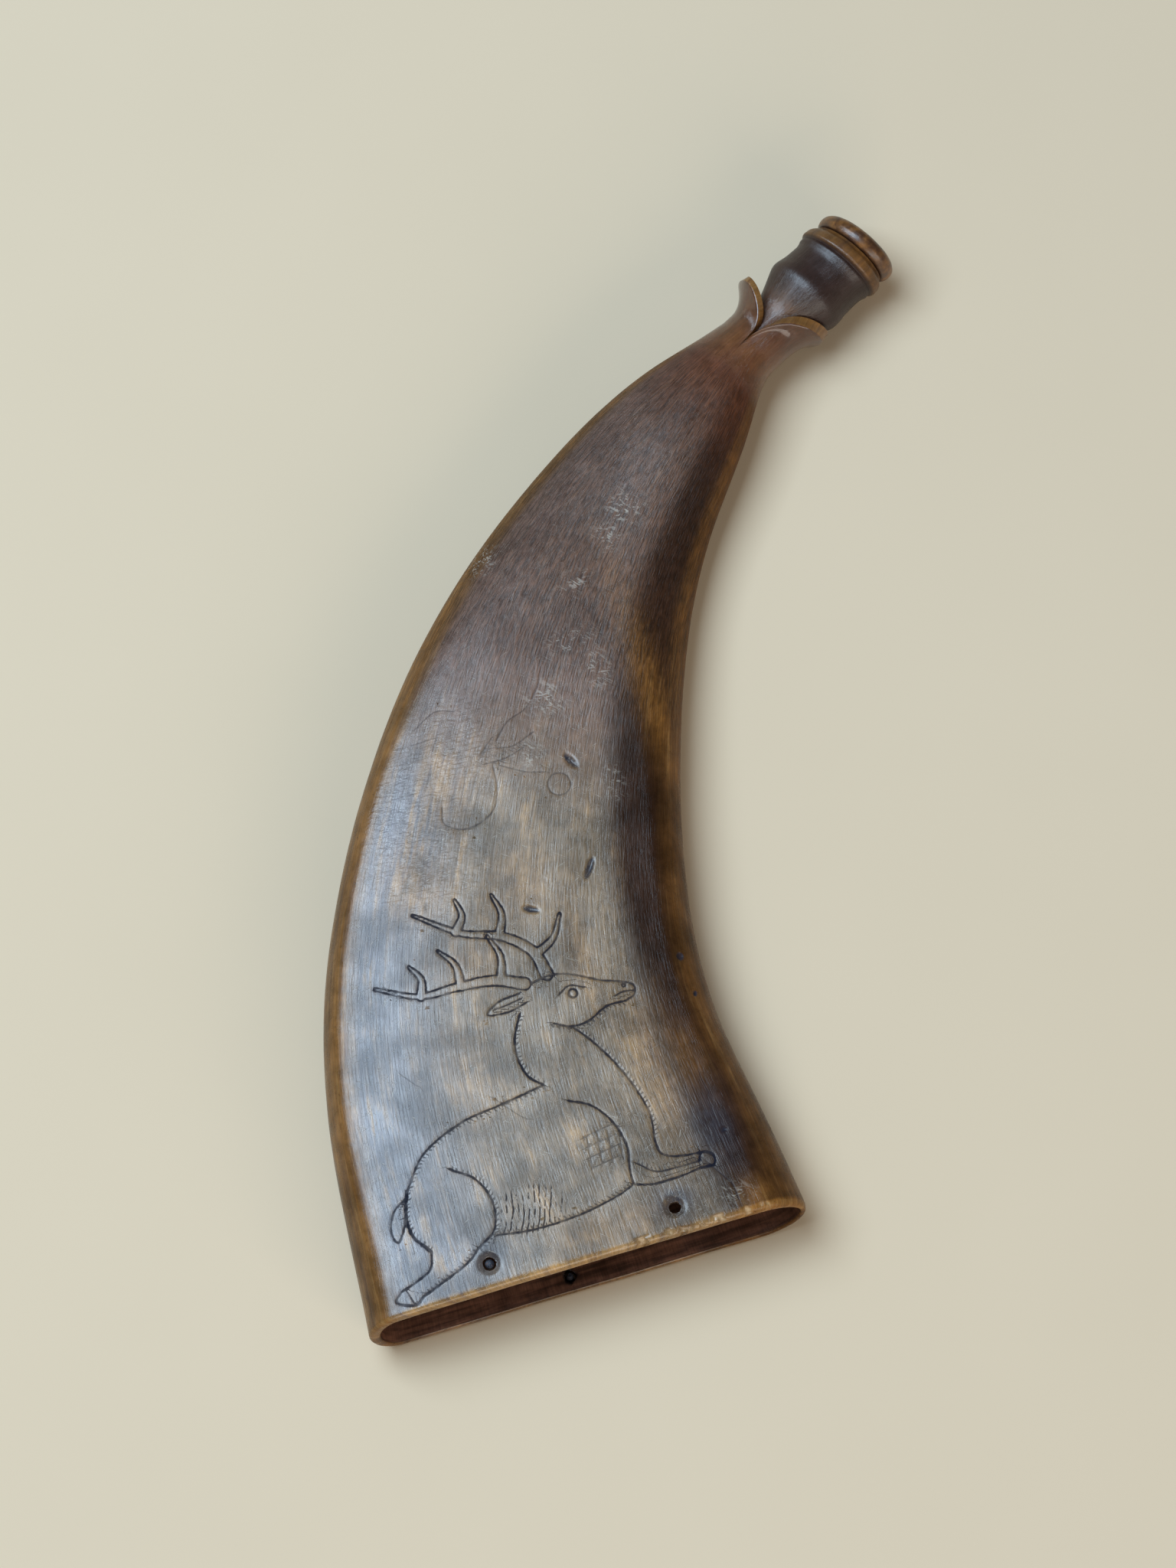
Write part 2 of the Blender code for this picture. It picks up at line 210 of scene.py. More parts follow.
def body_size(along):
    """Half width and half thickness of the body, held at the neck's values beyond the neck."""
    inside = np.minimum(along, BODY_LENGTH)
    return HALF_WIDTH(inside)[0], HALF_THICKNESS(inside)[0]


def place(along, sideways, upwards):
    """Row millimetres of a point along the centreline, sideways to its left and up from it."""
    inside = np.minimum(along, BODY_LENGTH)
    beyond = along - inside
    x, x_slope = CENTRE_X(inside)
    y, y_slope = CENTRE_Y(inside)
    size = np.hypot(x_slope, y_slope)
    forward_x, forward_y = x_slope / size, y_slope / size
    slant = math.tan(math.radians(MOUTH_SLANT)) * smoothstep(SLANT_START, SLANT_END, beyond)
    beyond = beyond - slant * sideways
    world_x = x + forward_x * beyond - forward_y * sideways
    world_y = y + forward_y * beyond + forward_x * sideways
    lift = SPOUT_HEIGHT - STATIONS[-1][3]
    centre = body_size(along)[1] + lift * smoothstep(LIFT_START * BODY_LENGTH, BODY_LENGTH, along)
    world_z = centre + upwards
    depth_share = 1.0 - world_z / (2.0 * STATIONS[0][3])
    world_y = world_y - RIM_SLANT * depth_share * (1.0 - smoothstep(0.0, RIM_SLANT_FADE, along))
    return np.stack((world_x, world_y, world_z), axis=-1)


def roundness(along):
    """How far the section has turned from pressed flat, at the base, to round, at the neck."""
    return smoothstep(ROUND_START * BODY_LENGTH, ROUND_END * BODY_LENGTH, along)


def oval(angle, half_width, half_thickness, edge_left, edge_right, crown):
    """Flattened oval at an angle from the top, turning left: sideways and upwards offsets."""
    left = np.sin(angle) >= 0.0
    top = np.cos(angle) >= 0.0
    edge = np.minimum(np.where(left, edge_left, edge_right), half_width)
    flat = half_width - edge
    arc = 0.25 * math.pi * (edge + half_thickness)
    arc_share = ARC_WEIGHT * arc / (ARC_WEIGHT * arc + flat)
    from_vertical = np.arcsin(np.clip(np.abs(np.sin(angle)), 0.0, 1.0)) / (0.5 * math.pi)
    on_flat = np.clip(from_vertical / np.maximum(1.0 - arc_share, 1e-9), 0.0, 1.0)
    turn = np.clip((from_vertical - 1.0 + arc_share) / arc_share, 0.0, 1.0) * 0.5 * math.pi
    flat_reach = flat * on_flat
    sideways = flat_reach + edge * np.sin(turn)
    drop = np.where(top, crown * (flat_reach / half_width) ** 2, 0.0)
    upwards = (half_thickness - drop) * np.cos(turn)
    return np.where(left, sideways, -sideways), np.where(top, upwards, -upwards)


def edge_reach(along, half_width, reach):
    """Sideways reach of a rounded edge: more at the base, and the whole half width at the neck."""
    pressed = reach + EDGE_BASE_EXTRA * (1.0 - smoothstep(0.0, EDGE_FADE, along))
    return pressed + (half_width - pressed) * roundness(along)


def shell_offsets(along, angle, inset_sides, inset_walls):
    """Sideways and upwards offsets of the body's surface, or of a surface inset from it."""
    half_width, half_thickness = body_size(along)
    edges = [np.maximum(edge_reach(along, half_width, reach) - inset_sides, SHARPEST_EDGE)
             for reach in EDGE_REACHES]
    crown = CROWN * (1.0 - roundness(along))
    return oval(angle, half_width - inset_sides, half_thickness - inset_walls, *edges, crown)


def shell_points(along, angle, inset_sides=0.0, inset_walls=0.0):
    """Points of the body's surface, or of a surface inset from it."""
    along = along + 0.0 * angle
    return place(along, *shell_offsets(along, angle, inset_sides, inset_walls))


def round_points(along, angle, radius):
    """Points of a ring round the centreline."""
    return place(along + 0.0 * angle, radius * np.sin(angle), radius * np.cos(angle))


def of_side(angle, pair):
    """The left or the right value of a pair, by the side that an angle is on."""
    return np.where(np.sin(angle) >= 0.0, *pair)


def by_leaf(angle, index):
    """A value of the leaf that an angle belongs to."""
    return of_side(angle, (LEAF_LEFT[index], LEAF_RIGHT[index]))


def leaf_length(angle):
    """How far the leaf collar reaches beyond the neck at an angle from the top."""
    rise = np.abs(np.sin(angle)) ** of_side(angle, LEAF_FULLNESS)
    beside_tip = np.exp(-((np.abs(angle) - SHOULDER_AT) / SHOULDER_SPREAD) ** 2)
    return LEAF_NOTCH + (by_leaf(angle, 0) - LEAF_NOTCH) * rise + of_side(angle, LEAF_SHOULDER) * beside_tip


def leaf_edge(angle):
    """Reach of a leaf's edge and of the crease before it beyond the neck, and the edge's thickness."""
    tip = leaf_length(angle)
    opened = smoothstep(-2.0, 4.0, tip)
    crease = tip - of_side(angle, LEAF_BEVEL) * (0.3 + 0.7 * opened)
    return tip, crease, LEAF_NOTCH_THICKNESS + (of_side(angle, LEAF_TIP) - LEAF_NOTCH_THICKNESS) * opened


def leaf_root(angle):
    """Where the inside of the leaf collar meets the spout, beyond the neck."""
    return np.minimum(LEAF_ROOT, leaf_length(angle) - 0.35)


def leaf_points(beyond, angle, depth):
    """Points of the leaf collar, at a depth under its outer surface."""
    reach, start, flare = (by_leaf(angle, i) for i in range(3))
    tip, crease, _ = leaf_edge(angle)
    out = flare * np.clip((beyond - start) / (reach - start), 0.0, 1.1) ** 2
    roll = of_side(angle, LEAF_LIP) * np.exp(-((beyond - crease) / LEAF_LIP_WIDTH) ** 2)
    out = out + roll * smoothstep(0.0, 3.0, tip) * (1.0 - 0.5 * smoothstep(0.7, 1.0, np.abs(np.sin(angle))))
    where, spread, height = LEAF_CURL
    out = out + height * np.exp(-((angle - where) / spread) ** 2) * smoothstep(-2.2, 0.0, beyond - tip)
    return shell_points(BODY_LENGTH + beyond, angle, depth - out, depth - out)


def wall_thickness(along, angle):
    """Thickness of the side walls and of the front and back walls."""
    wall = WALL_BASE + (WALL_NECK - WALL_BASE) * along / BODY_LENGTH
    side = of_side(angle, WALL_SIDES)
    return side + (wall - side) * smoothstep(0.0, SIDE_WALL_FADE, along), wall + 0.0 * angle


def hollow_points(along, angle, share=1.0):
    """Points of the hollow, narrowing to the bore at the neck, or at a share of the walls' thickness."""
    half_width, half_thickness = body_size(along)
    side, wall = wall_thickness(along, angle)
    open_share = 1.0 - smoothstep(BODY_LENGTH - HOLLOW_END, BODY_LENGTH - BORE_END, along)
    inner_width = BORE_RADIUS + (half_width - side * share - BORE_RADIUS) * open_share
    inner_thickness = BORE_RADIUS + (half_thickness - wall * share - BORE_RADIUS) * open_share
    return shell_points(along, angle, half_width - inner_width, half_thickness - inner_thickness)


# ---- Lines cut into the show face ----

def curve_through(points, spacing=0.5):
    """Points about every spacing along a smooth curve through the given points."""
    points = np.asarray(points, dtype=float)
    ends = np.vstack((2 * points[0] - points[1], points, 2 * points[-1] - points[-2]))
    pieces = []
    for before, start, end, after in zip(ends, ends[1:], ends[2:], ends[3:]):
        steps = max(2, int(np.linalg.norm(end - start) / spacing))
        t = (np.arange(steps) / steps)[:, None]
        pieces.append(0.5 * (2 * start + (end - before) * t
                             + (2 * before - 5 * start + 4 * end - after) * t ** 2
                             + (3 * start - before - 3 * end + after) * t ** 3))
    pieces.append(points[-1:])
    return np.vstack(pieces)


def ring_points(x, y, radius, count=14):
    """A closed circle as a list of points."""
    turns = np.linspace(0.0, 2.0 * math.pi, count)
    return [(x + radius * math.cos(t), y + radius * math.sin(t)) for t in turns]


# A resting stag of the script's own design. Each line: width, strength, ticks, points.
STAG_LINES = (
    # back, rump, tail
    (0.50, 0.9, 1, ((2.0, 36.2), (-6.0, 35.0), (-16.0, 33.6), (-24.6, 29.8), (-29.8, 23.6))),
    (0.75, 1.0, 1, ((-29.8, 23.6), (-31.4, 19.0), (-31.2, 14.6), (-28.6, 10.6))),
    (0.45, 0.9, 0, ((-30.4, 22.4), (-33.4, 20.4), (-35.0, 17.0), (-34.4, 14.2), (-32.6, 16.4),
                    (-31.5, 18.8))),
    # hind leg, folded, with its hoof
    (0.50, 0.9, 1, ((-20.6, 25.4), (-16.2, 21.8), (-14.4, 16.6), (-15.6, 11.4), (-19.6, 8.6))),
    (0.50, 0.9, 0, ((-28.6, 10.6), (-29.8, 7.4), (-33.6, 5.6), (-36.4, 4.8))),
    (0.50, 0.9, 0, ((-36.4, 4.8), (-38.0, 3.0), (-34.6, 1.4), (-32.6, 2.6))),
    (0.50, 0.9, 1, ((-32.6, 2.6), (-27.0, 4.6), (-22.6, 6.4), (-19.6, 8.6))),
    (0.40, 0.8, 0, ((-34.6, 1.4), (-35.4, 4.4))),
    # belly
    (0.45, 0.9, 1, ((-15.4, 10.0), (-8.0, 9.0), (1.0, 9.2), (9.0, 10.6), (13.0, 12.0))),
    # neck and chest
    (0.55, 0.95, 1, ((1.6, 51.4), (-0.8, 47.0), (-1.4, 42.4), (-0.4, 38.6), (2.0, 36.2))),
    (0.50, 0.9, 1, ((10.6, 46.0), (13.6, 42.0), (16.6, 36.6), (19.0, 30.4), (20.2, 24.6), (19.6, 19.4))),
    # shoulder, fore legs, hooves
    (0.50, 0.9, 0, ((5.6, 31.8), (9.8, 29.4), (12.8, 25.0), (14.0, 19.8), (13.2, 15.4), (13.0, 12.0))),
    (0.50, 0.9, 0, ((19.6, 19.4), (20.0, 16.4), (23.0, 14.9), (27.6, 14.4))),
    (0.50, 0.9, 0, ((13.0, 12.0), (17.0, 10.9), (22.0, 10.9), (26.6, 11.4))),
    (0.60, 1.0, 0, ((26.6, 11.4), (29.4, 11.4), (29.6, 13.4), (27.6, 14.4), (26.8, 12.8))),
    (0.40, 0.8, 1, ((14.6, 16.0), (18.0, 13.2), (22.4, 12.8), (26.8, 12.8))),
    # head in profile
    (0.45, 0.8, 0, ((5.4, 56.6), (9.4, 57.2), (13.6, 56.2), (18.4, 53.6), (22.6, 52.0), (24.8, 50.6),
                    (24.4, 48.8), (22.4, 48.0))),
    (0.50, 0.9, 1, ((22.4, 48.0), (18.4, 48.0), (14.4, 46.2), (10.6, 46.0), (7.4, 47.6))),
    (0.40, 0.8, 0, ((24.6, 49.6), (22.4, 49.9), (20.6, 49.5))),
    (0.45, 0.9, 0, tuple(ring_points(22.9, 51.1, 0.35, 8))),
    (0.50, 0.95, 0, tuple(ring_points(12.8, 52.4, 0.85, 12))),
    (0.40, 0.8, 0, ((10.2, 53.0), (12.6, 54.1), (15.4, 52.9))),
    # ear
    (0.45, 0.9, 0, ((3.4, 53.2), (-0.4, 52.4), (-4.6, 53.0), (-1.8, 54.9), (2.6, 55.4))),
    (0.40, 0.8, 0, ((2.6, 54.3), (-0.6, 53.8), (-3.0, 53.7))),
)

# Antlers: each beam as points from the brow. The same tines stand on each: share along the beam, length.
BEAMS = (
    ((4.2, 57.0), (-1.6, 59.4), (-9.0, 60.2), (-16.6, 60.6), (-24.4, 64.6)),
    ((9.0, 57.6), (7.6, 63.0), (2.6, 67.6), (-5.0, 70.6), (-13.0, 76.8)),
)
TINES = ((0.16, 9.5), (0.43, 8.5), (0.70, 6.5))
TINE_LEAN = 70.0              # from the beam, towards the brow
TINE_BOW = 1.3
BEAM_HALF_WIDTH = (1.25, 0.3)
TINE_HALF_WIDTH = (0.95, 0.28)
ANTLER_LINE = (0.44, 0.95)    # width and strength

# Short crossing strokes on the shoulder.
CROSSED_MIDDLE, CROSSED_REACH, CROSSED_COUNT = (9.4, 20.6), 3.2, 4

# A faint older sketch further up, small cuts and a few long scratches: width, strength, ticks, points.
FAINT_LINES = (
    (0.32, 0.5, 0, tuple(ring_points(22.6, 94.4, 2.3, 16))),
    (0.30, 0.5, 0, ((13.0, 106.5), (16.4, 109.8), (20.6, 111.4), (24.0, 114.8), (26.2, 119.0))),
    (0.30, 0.5, 0, ((8.6, 103.8), (11.4, 105.4), (15.8, 104.6), (20.6, 106.2))),
    (0.30, 0.5, 0, ((9.6, 102.6), (13.8, 102.6), (18.0, 103.8))),
    (0.30, 0.5, 0, ((9.0, 104.6), (12.4, 107.4))),
    (0.35, 0.55, 0, ((11.0, 101.8), (10.4, 96.6), (7.8, 92.4), (2.4, 90.8), (-1.6, 93.0), (-1.2, 96.4))),
    (0.28, 0.45, 0, ((12.2, 101.6), (16.8, 98.8), (20.6, 97.6))),
    (0.28, 0.45, 0, ((-2.0, 113.6), (3.0, 116.0), (6.8, 115.0))),
    (0.25, 0.35, 0, ((-6.0, 110.6), (0.6, 110.8))),
    (0.25, 0.4, 0, ((-8.4, 36.8), (-5.0, 32.4), (-3.2, 30.6))),
    (0.25, 0.4, 0, ((-24.4, 46.6), (-21.8, 43.0))),
    (0.22, 0.35, 0, ((-22.6, 64.6), (-20.2, 61.4))),
    (0.25, 0.4, 0, ((31.8, 29.6), (32.6, 25.4))),
    (0.3, 0.5, 0, ((27.0, 14.0), (29.6, 9.8), (31.6, 6.4), (31.8, 3.4))),
)
NICKS = (                     # dents: x, y, half length, half width, bearing of the long side, depth
    (26.2, 98.4, 2.1, 0.75, -30.0, 0.5),
    (23.3, 76.0, 2.6, 0.75, 35.0, 0.55),
    (9.8, 71.2, 2.0, 0.75, -62.0, 0.35),
    (35.4, 53.8, 0.9, 0.8, 0.0, 0.5),
    (36.1, 45.8, 0.7, 0.5, 20.0, 0.4),
    (33.2, 17.4, 0.9, 0.5, 80.0, 0.3),
)
GROOVE_DEPTH = 0.08
CHIPPED_STRETCH = (3.0, 41.0) # the part of the front rim, in x, whose upper edge is chipped
CHIP_DROP, CHIP_RETREAT = 0.4, 0.35
RIM_TOP = (19.6, 20.6)        # heights between which the chipping sets in


def antler_strokes(beam):
    """Beam and tines of one antler, each as (points, half widths)."""
    centre = curve_through(beam)
    strokes = [(centre, np.linspace(*BEAM_HALF_WIDTH, len(centre)))]
    for share, length in TINES:
        i = int(share * (len(centre) - 1))
        heading = math.atan2(*(centre[i + 1] - centre[i])[::-1]) - math.radians(TINE_LEAN)
        ahead = np.array((math.cos(heading), math.sin(heading)))
        left = np.array((-ahead[1], ahead[0]))
        middle = centre[i] + 0.5 * length * ahead - TINE_BOW * left
        line = curve_through((centre[i], middle, centre[i] + length * ahead))
        strokes.append((line, np.linspace(*TINE_HALF_WIDTH, len(line))))
    return strokes


def crossed_lines():
    """The crossing strokes, as lines like those of the stag."""
    x, y = CROSSED_MIDDLE
    size = CROSSED_REACH
    lines = []
    for offset in np.linspace(-size, size, CROSSED_COUNT):
        lines.append((0.3, 0.5, 0, ((x + offset, y - size), (x + offset + 0.8, y + size))))
        lines.append((0.3, 0.5, 0, ((x - size, y + offset), (x + size, y + offset + 1.0))))
    return lines


def nearest_on(points, line):
    """For each point: signed distance to a line (positive to its left), nearest segment and place on it."""
    starts = line[:-1]
    steps = np.diff(line, axis=0)
    lengths = np.maximum(np.linalg.norm(steps, axis=1), 1e-6)
    relative = points[:, None, :] - starts[None]
    t = np.clip((relative * steps).sum(-1) / lengths ** 2, 0.0, 1.0)
    gap = relative - t[..., None] * steps
    distance = np.linalg.norm(gap, axis=-1)
    nearest = distance.argmin(axis=1)
    rows = np.arange(len(points))
    side = steps[nearest, 0] * gap[rows, nearest, 1] - steps[nearest, 1] * gap[rows, nearest, 0]
    signed = distance[rows, nearest] * np.where(side >= 0.0, 1.0, -1.0)
    along = np.concatenate(([0.0], np.cumsum(lengths)))[nearest] + t[rows, nearest] * lengths[nearest]
    return signed, nearest + t[rows, nearest], along


FAR = 9.0                     # distance given to points that are near no line
LINE_MARGIN = 3.0             # round a line's box, within which points are measured against it


def near_box(points, line):
    """Indices of the points within the margin of a line's box."""
    inside = (points > line.min(0) - LINE_MARGIN) & (points < line.max(0) + LINE_MARGIN)
    return np.flatnonzero(np.all(inside, axis=1))


def cut_lines(points):
    """The nearest cut line at face points: signed and plain distance, along, width, strength, ticks."""
    field = np.zeros((len(points), 6))
    field[:, :2] = FAR

    def claim(near, signed, along, width, strength, ticks):
        better = np.abs(signed) - 0.5 * width < field[near, 1] - 0.5 * field[near, 3]
        chosen = near[better]
        field[chosen, 0] = signed[better]
        field[chosen, 1] = np.abs(signed[better])
        field[chosen, 2] = along[better]
        field[chosen, 3:] = (width, strength, ticks)

    for width, strength, ticks, line in (*STAG_LINES, *FAINT_LINES, *crossed_lines()):
        line = curve_through(line)
        near = near_box(points, line)
        if len(near):
            signed, _, along = nearest_on(points[near], line)
            claim(near, signed, along, width, strength, ticks)
    for beam in BEAMS:
        strokes = antler_strokes(beam)
        near = near_box(points, np.vstack([line for line, _ in strokes]))
        if not len(near):
            continue
        outline = np.full(len(near), FAR)
        along = np.zeros(len(near))
        for line, half_widths in strokes:
            signed, position, reach = nearest_on(points[near], line)
            edge = np.abs(signed) - np.interp(position, np.arange(len(line)), half_widths)
            along = np.where(edge < outline, reach, along)
            outline = np.minimum(outline, edge)
        claim(near, outline, along, *ANTLER_LINE, 0)
    return field


# ---- The horn as rings, refined where lines are cut ----

def spout_radius_curve():
    """Radius of the turned spout as a smooth curve along its axis."""
    along, radius = np.array(SPOUT_OUTLINE).T
    return clamped_spline(along, radius, *SPOUT_SLOPE)


def outer_points(along, angle):
    """Points of the outside of the body, drawn in where the base rim is rounded."""
    left = np.clip(1.0 - along / RIM_ROUND_OUTSIDE, 0.0, 1.0)
    drawn_in = ROUND_SHARE_OUTSIDE * (1.0 - np.sqrt(1.0 - left ** 2))
    side, wall = wall_thickness(along, angle)
    return shell_points(along, angle, side * drawn_in, wall * drawn_in)


def body_rings(angle):
    """Outside of the body, from the rounded base rim to the leaf collar."""
    rounding = RIM_ROUND_OUTSIDE * (1.0 - np.cos(np.radians((0.0, 18.0, 36.0, 54.0, 72.0))))
    rim = np.arange(RIM_ROUND_OUTSIDE, RIM_RINGS_END, RING_STEP_RIM)
    fine = np.arange(RIM_RINGS_END, ENGRAVED_END, RING_STEP_FINE)
    coarse = np.arange(ENGRAVED_END, BODY_LENGTH - LEAF_BLEND - 1.0, RING_STEP_COARSE)
    for along in np.concatenate((rounding, rim, fine, coarse)):
        yield along, outer_points(along, angle), BODY


def leaf_rings(angle):
    """Outside of the leaf collar, the rounded crease before its cut edge, the edge and the inside."""
    tip, crease, thick = leaf_edge(angle)
    for share in np.linspace(0.0, 1.0, 36):
        beyond = -LEAF_BLEND + (crease - LEAF_CREASE_RADIUS + LEAF_BLEND) * share
        yield BODY_LENGTH + beyond, leaf_points(beyond, angle, 0.0), LEAF_OUT
    slope = np.hypot(tip - crease, thick)
    for turn, kind in ((0.25, LEAF_OUT), (0.5, LEAF_OUT), (0.75, LEAF_EDGE), (1.0, LEAF_EDGE)):
        beyond = crease + LEAF_CREASE_RADIUS * (turn ** 2 * (tip - crease) / slope - (1.0 - turn) ** 2)
        depth = LEAF_CREASE_RADIUS * turn ** 2 * thick / slope
        yield BODY_LENGTH + beyond, leaf_points(beyond, angle, depth), kind
    for share in (0.35, 0.5, 0.65, 0.8, 0.92):
        beyond = crease + (tip - crease) * share
        yield BODY_LENGTH + beyond, leaf_points(beyond, angle, thick * share), LEAF_EDGE
    for share in np.linspace(0.03, 1.0, 16):
        beyond = tip + (leaf_root(angle) - tip) * share
        thickness = thick + (np.minimum(LEAF_THICKNESS, thick) - thick) * smoothstep(0.0, 0.6, share)
        yield BODY_LENGTH + beyond, leaf_points(beyond, angle, thickness), LEAF_IN


def spout_rings(angle):
    """Outside of the spout, from inside the leaf collar to the mouth, and its bore from the mouth inwards."""
    radius_at = spout_radius_curve()
    first, last = SPOUT_OUTLINE[0], SPOUT_OUTLINE[-1]
    root = leaf_root(angle)
    turned = [(root - 0.2, first[1] + 0.25, LEAF_IN), (root + 0.1, first[1], SPOUT)]
    for beyond in np.concatenate((np.linspace(first[0], 24.0, 44), np.linspace(24.2, last[0], 26))):
        turned.append((beyond, radius_at(beyond)[0], SPOUT))
    turned.append((MOUTH, MOUTH_RADIUS, SPOUT))
    turned += [(beyond, BORE_RADIUS, BORE) for beyond in (MOUTH, 28.6, 20.0, 10.0, 0.0, -BORE_END)]
    for beyond, radius, kind in turned:
        yield BODY_LENGTH + beyond, round_points(BODY_LENGTH + beyond, angle, radius), kind


def hollow_rings(angle):
    """The hollow, from the bore to the rounded inner edge of the base rim."""
    for along in (*np.linspace(BODY_LENGTH - BORE_END, 4.0, 60)[1:], 3.0, 2.0, 1.2, RIM_ROUND_INSIDE):
        yield along, hollow_points(along, angle), HOLLOW
    for turn in np.radians((60.0, 30.0, 0.0)):
        share = 1.0 - ROUND_SHARE_INSIDE * (1.0 - math.sin(turn))
        along = RIM_ROUND_INSIDE * (1.0 - math.cos(turn))
        yield along, hollow_points(along, angle, share), RIM


def join_rings(data, rings):
    """Add quads between each ring of vertices and the next."""
    for first, second in zip(rings, rings[1:]):
        for i in range(len(first)):
            j = (i + 1) % len(first)
            data.faces.new((first[i], first[j], second[j], second[i]))


def build_grid():
    """Mesh of the horn with, at each vertex, its distance along, its angle and what it belongs to."""
    angle = -math.pi + np.arange(AROUND) * 2.0 * math.pi / AROUND
    grid = bmesh.new()
    layers = [grid.verts.layers.float.new(name) for name in ("along", "angle", "kind")]
    rows = []
    for rings in (body_rings, leaf_rings, spout_rings, hollow_rings):
        for along, points, kind in rings(angle):
            row = [grid.verts.new(point) for point in points]
            for vertex, *values in zip(row, along + 0.0 * angle, angle):
                for layer, value in zip(layers, (*values, kind)):
                    vertex[layer] = value
            rows.append(row)
    join_rings(grid, rows + rows[:1])
    return grid, layers


def vertex_values(grid, layers):
    """The vertices' points and their values in each layer."""
    points = np.array([vertex.co for vertex in grid.verts])
    return (points, *(np.array([vertex[layer] for vertex in grid.verts]) for layer in layers))


def on_show_face(points, kind):
    """True for vertices of the body's upper side."""
    return (kind <= BODY + KIND_SLACK) & (points[:, 2] > FACE_HEIGHT)


def features(points):
    """Distance from face points to the nearest thing that needs a finer mesh."""
    field = cut_lines(points)
    distance = np.where(field[:, 4] > 0.42, field[:, 1] - 0.3 * field[:, 3], FAR)
    for x, y, radius in FRONT_HOLES:
        distance = np.minimum(distance, np.abs(np.hypot(points[:, 0] - x, points[:, 1] - y) - radius - 0.4))
    for x, y, length, _, _, _ in NICKS:
        distance = np.minimum(distance, np.hypot(points[:, 0] - x, points[:, 1] - y) - 0.7 * length)
    chipped = (points[:, 0] > CHIPPED_STRETCH[0]) & (points[:, 0] < CHIPPED_STRETCH[1])
    return np.where(chipped, np.minimum(distance, points[:, 1] - 1.2), distance)


def refine(grid, layers):
    """Split the faces near cut lines, three times over, and put the new vertices on the horn's surface."""
    kind_layer = layers[2]
    for reach in REFINE_REACH:
        grid.verts.ensure_lookup_table()
        points, _, _, kind = vertex_values(grid, layers)
        usable = np.flatnonzero(on_show_face(points, kind))
        near = np.zeros(len(points), bool)
        near[usable] = features(points[usable, :2]) < reach
        edges = set()
        for face in grid.faces:
            on_body = all(vertex[kind_layer] < BODY + KIND_SLACK for vertex in face.verts)
            if on_body and any(near[vertex.index] for vertex in face.verts):
                edges.update(face.edges)
        bmesh.ops.subdivide_edges(grid, edges=list(edges), cuts=1, use_grid_fill=True)
        grid.verts.index_update()
    points, along, angle, kind = vertex_values(grid, layers)
    body = np.abs(kind - BODY) < KIND_SLACK
    points[body] = outer_points(along[body], angle[body])
    return points, along, angle, np.round(kind)


def noise_at(points, size, seed=0.0):
    """Smooth noise from -1 to 1 with features of about the given size."""
    scaled = points / size + seed
    return np.array([noise.noise(Vector(p)) for p in scaled])


def dents(points):
    """Depth of the dents at each face point."""
    result = np.zeros(len(points))
    for x, y, length, width, bearing, depth in NICKS:
        turn = math.radians(bearing)
        ahead = (points[:, 0] - x) * math.sin(turn) + (points[:, 1] - y) * math.cos(turn)
        across = (points[:, 0] - x) * math.cos(turn) - (points[:, 1] - y) * math.sin(turn)
        result += depth * np.clip(1.0 - (ahead / length) ** 2 - (across / width) ** 2, 0.0, 1.0)
    return result


def relief(points, kind, field):
    """Height change along the surface normal, in millimetres: hand-made unevenness, cuts, dents and wear."""
    height = 0.10 * noise_at(points, 16.0) + 0.035 * noise_at(points, 5.0, 7.0)
    height[kind >= BORE] = 0.0
    face = on_show_face(points, kind)
    profile = np.clip(1.0 - field[:, 1] / (0.5 * field[:, 3] + 0.22), 0.0, 1.0)
    height -= np.where(face, GROOVE_DEPTH * field[:, 4] * profile, 0.0)
    for x, y, radius in FRONT_HOLES:
        wear = 1.0 - smoothstep(radius, radius + HOLE_WEAR[0], np.hypot(points[:, 0] - x, points[:, 1] - y))
        height -= np.where(face, HOLE_WEAR[1] * wear ** 2, 0.0)
    return height - np.where(face, dents(points), 0.0)


def rim_chips(points, kind):
    """How strongly the front rim is chipped at each vertex, from 0 to 1."""
    start, end = CHIPPED_STRETCH
    stretch = smoothstep(start, start + 7.0, points[:, 0]) * (1.0 - smoothstep(end - 4.0, end, points[:, 0]))
    near_rim = 1.0 - smoothstep(0.5, 1.9, points[:, 1] + 0.25 * noise_at(points, 2.5, 3.0))
    roughness = noise_at(points * (1.0, 0.25, 0.3), 1.9, 11.0) + 0.5 * noise_at(points, 0.9, 5.0)
    upper = smoothstep(*RIM_TOP, points[:, 2])
    return stretch * near_rim * upper * smoothstep(0.18, 0.6, roughness) * (kind <= RIM)


# ---- Where the colours lie ----

FIBRE_RADIUS = 25.0           # radius on which the fibre pattern is wrapped round the horn
HOLLOW_SHIFT = 700.0          # moves the inside's fibre pattern away from the outside's
# Soft patches on the face and the side walls: x, y, reach in x and in y, strength.
AMBER_PATCHES = (
    (24.5, 33.0, 4.5, 15.0, 0.75),
    (29.0, 31.0, 5.0, 9.0, 0.75),
    (36.0, 3.2, 4.5, 3.8, 0.65),
    (7.0, 4.8, 10.0, 3.6, 0.75),
    (9.0, 76.0, 9.0, 8.0, 0.6),
    (-12.0, 82.0, 7.0, 9.0, 0.6),
    (-6.0, 65.0, 8.0, 5.0, 0.6),
    (16.5, 62.0, 2.6, 14.0, 0.6),
    (0.0, 104.0, 4.0, 13.0, 0.55),
    (46.0, 96.0, 3.4, 26.0, 0.85),
    (-12.0, 44.0, 5.0, 10.0, 0.3),
)
ROUGH_PATCHES = ((-8.0, 92.0, 10.0, 16.0, 1.0), (4.0, 106.0, 9.0, 10.0, 0.6))
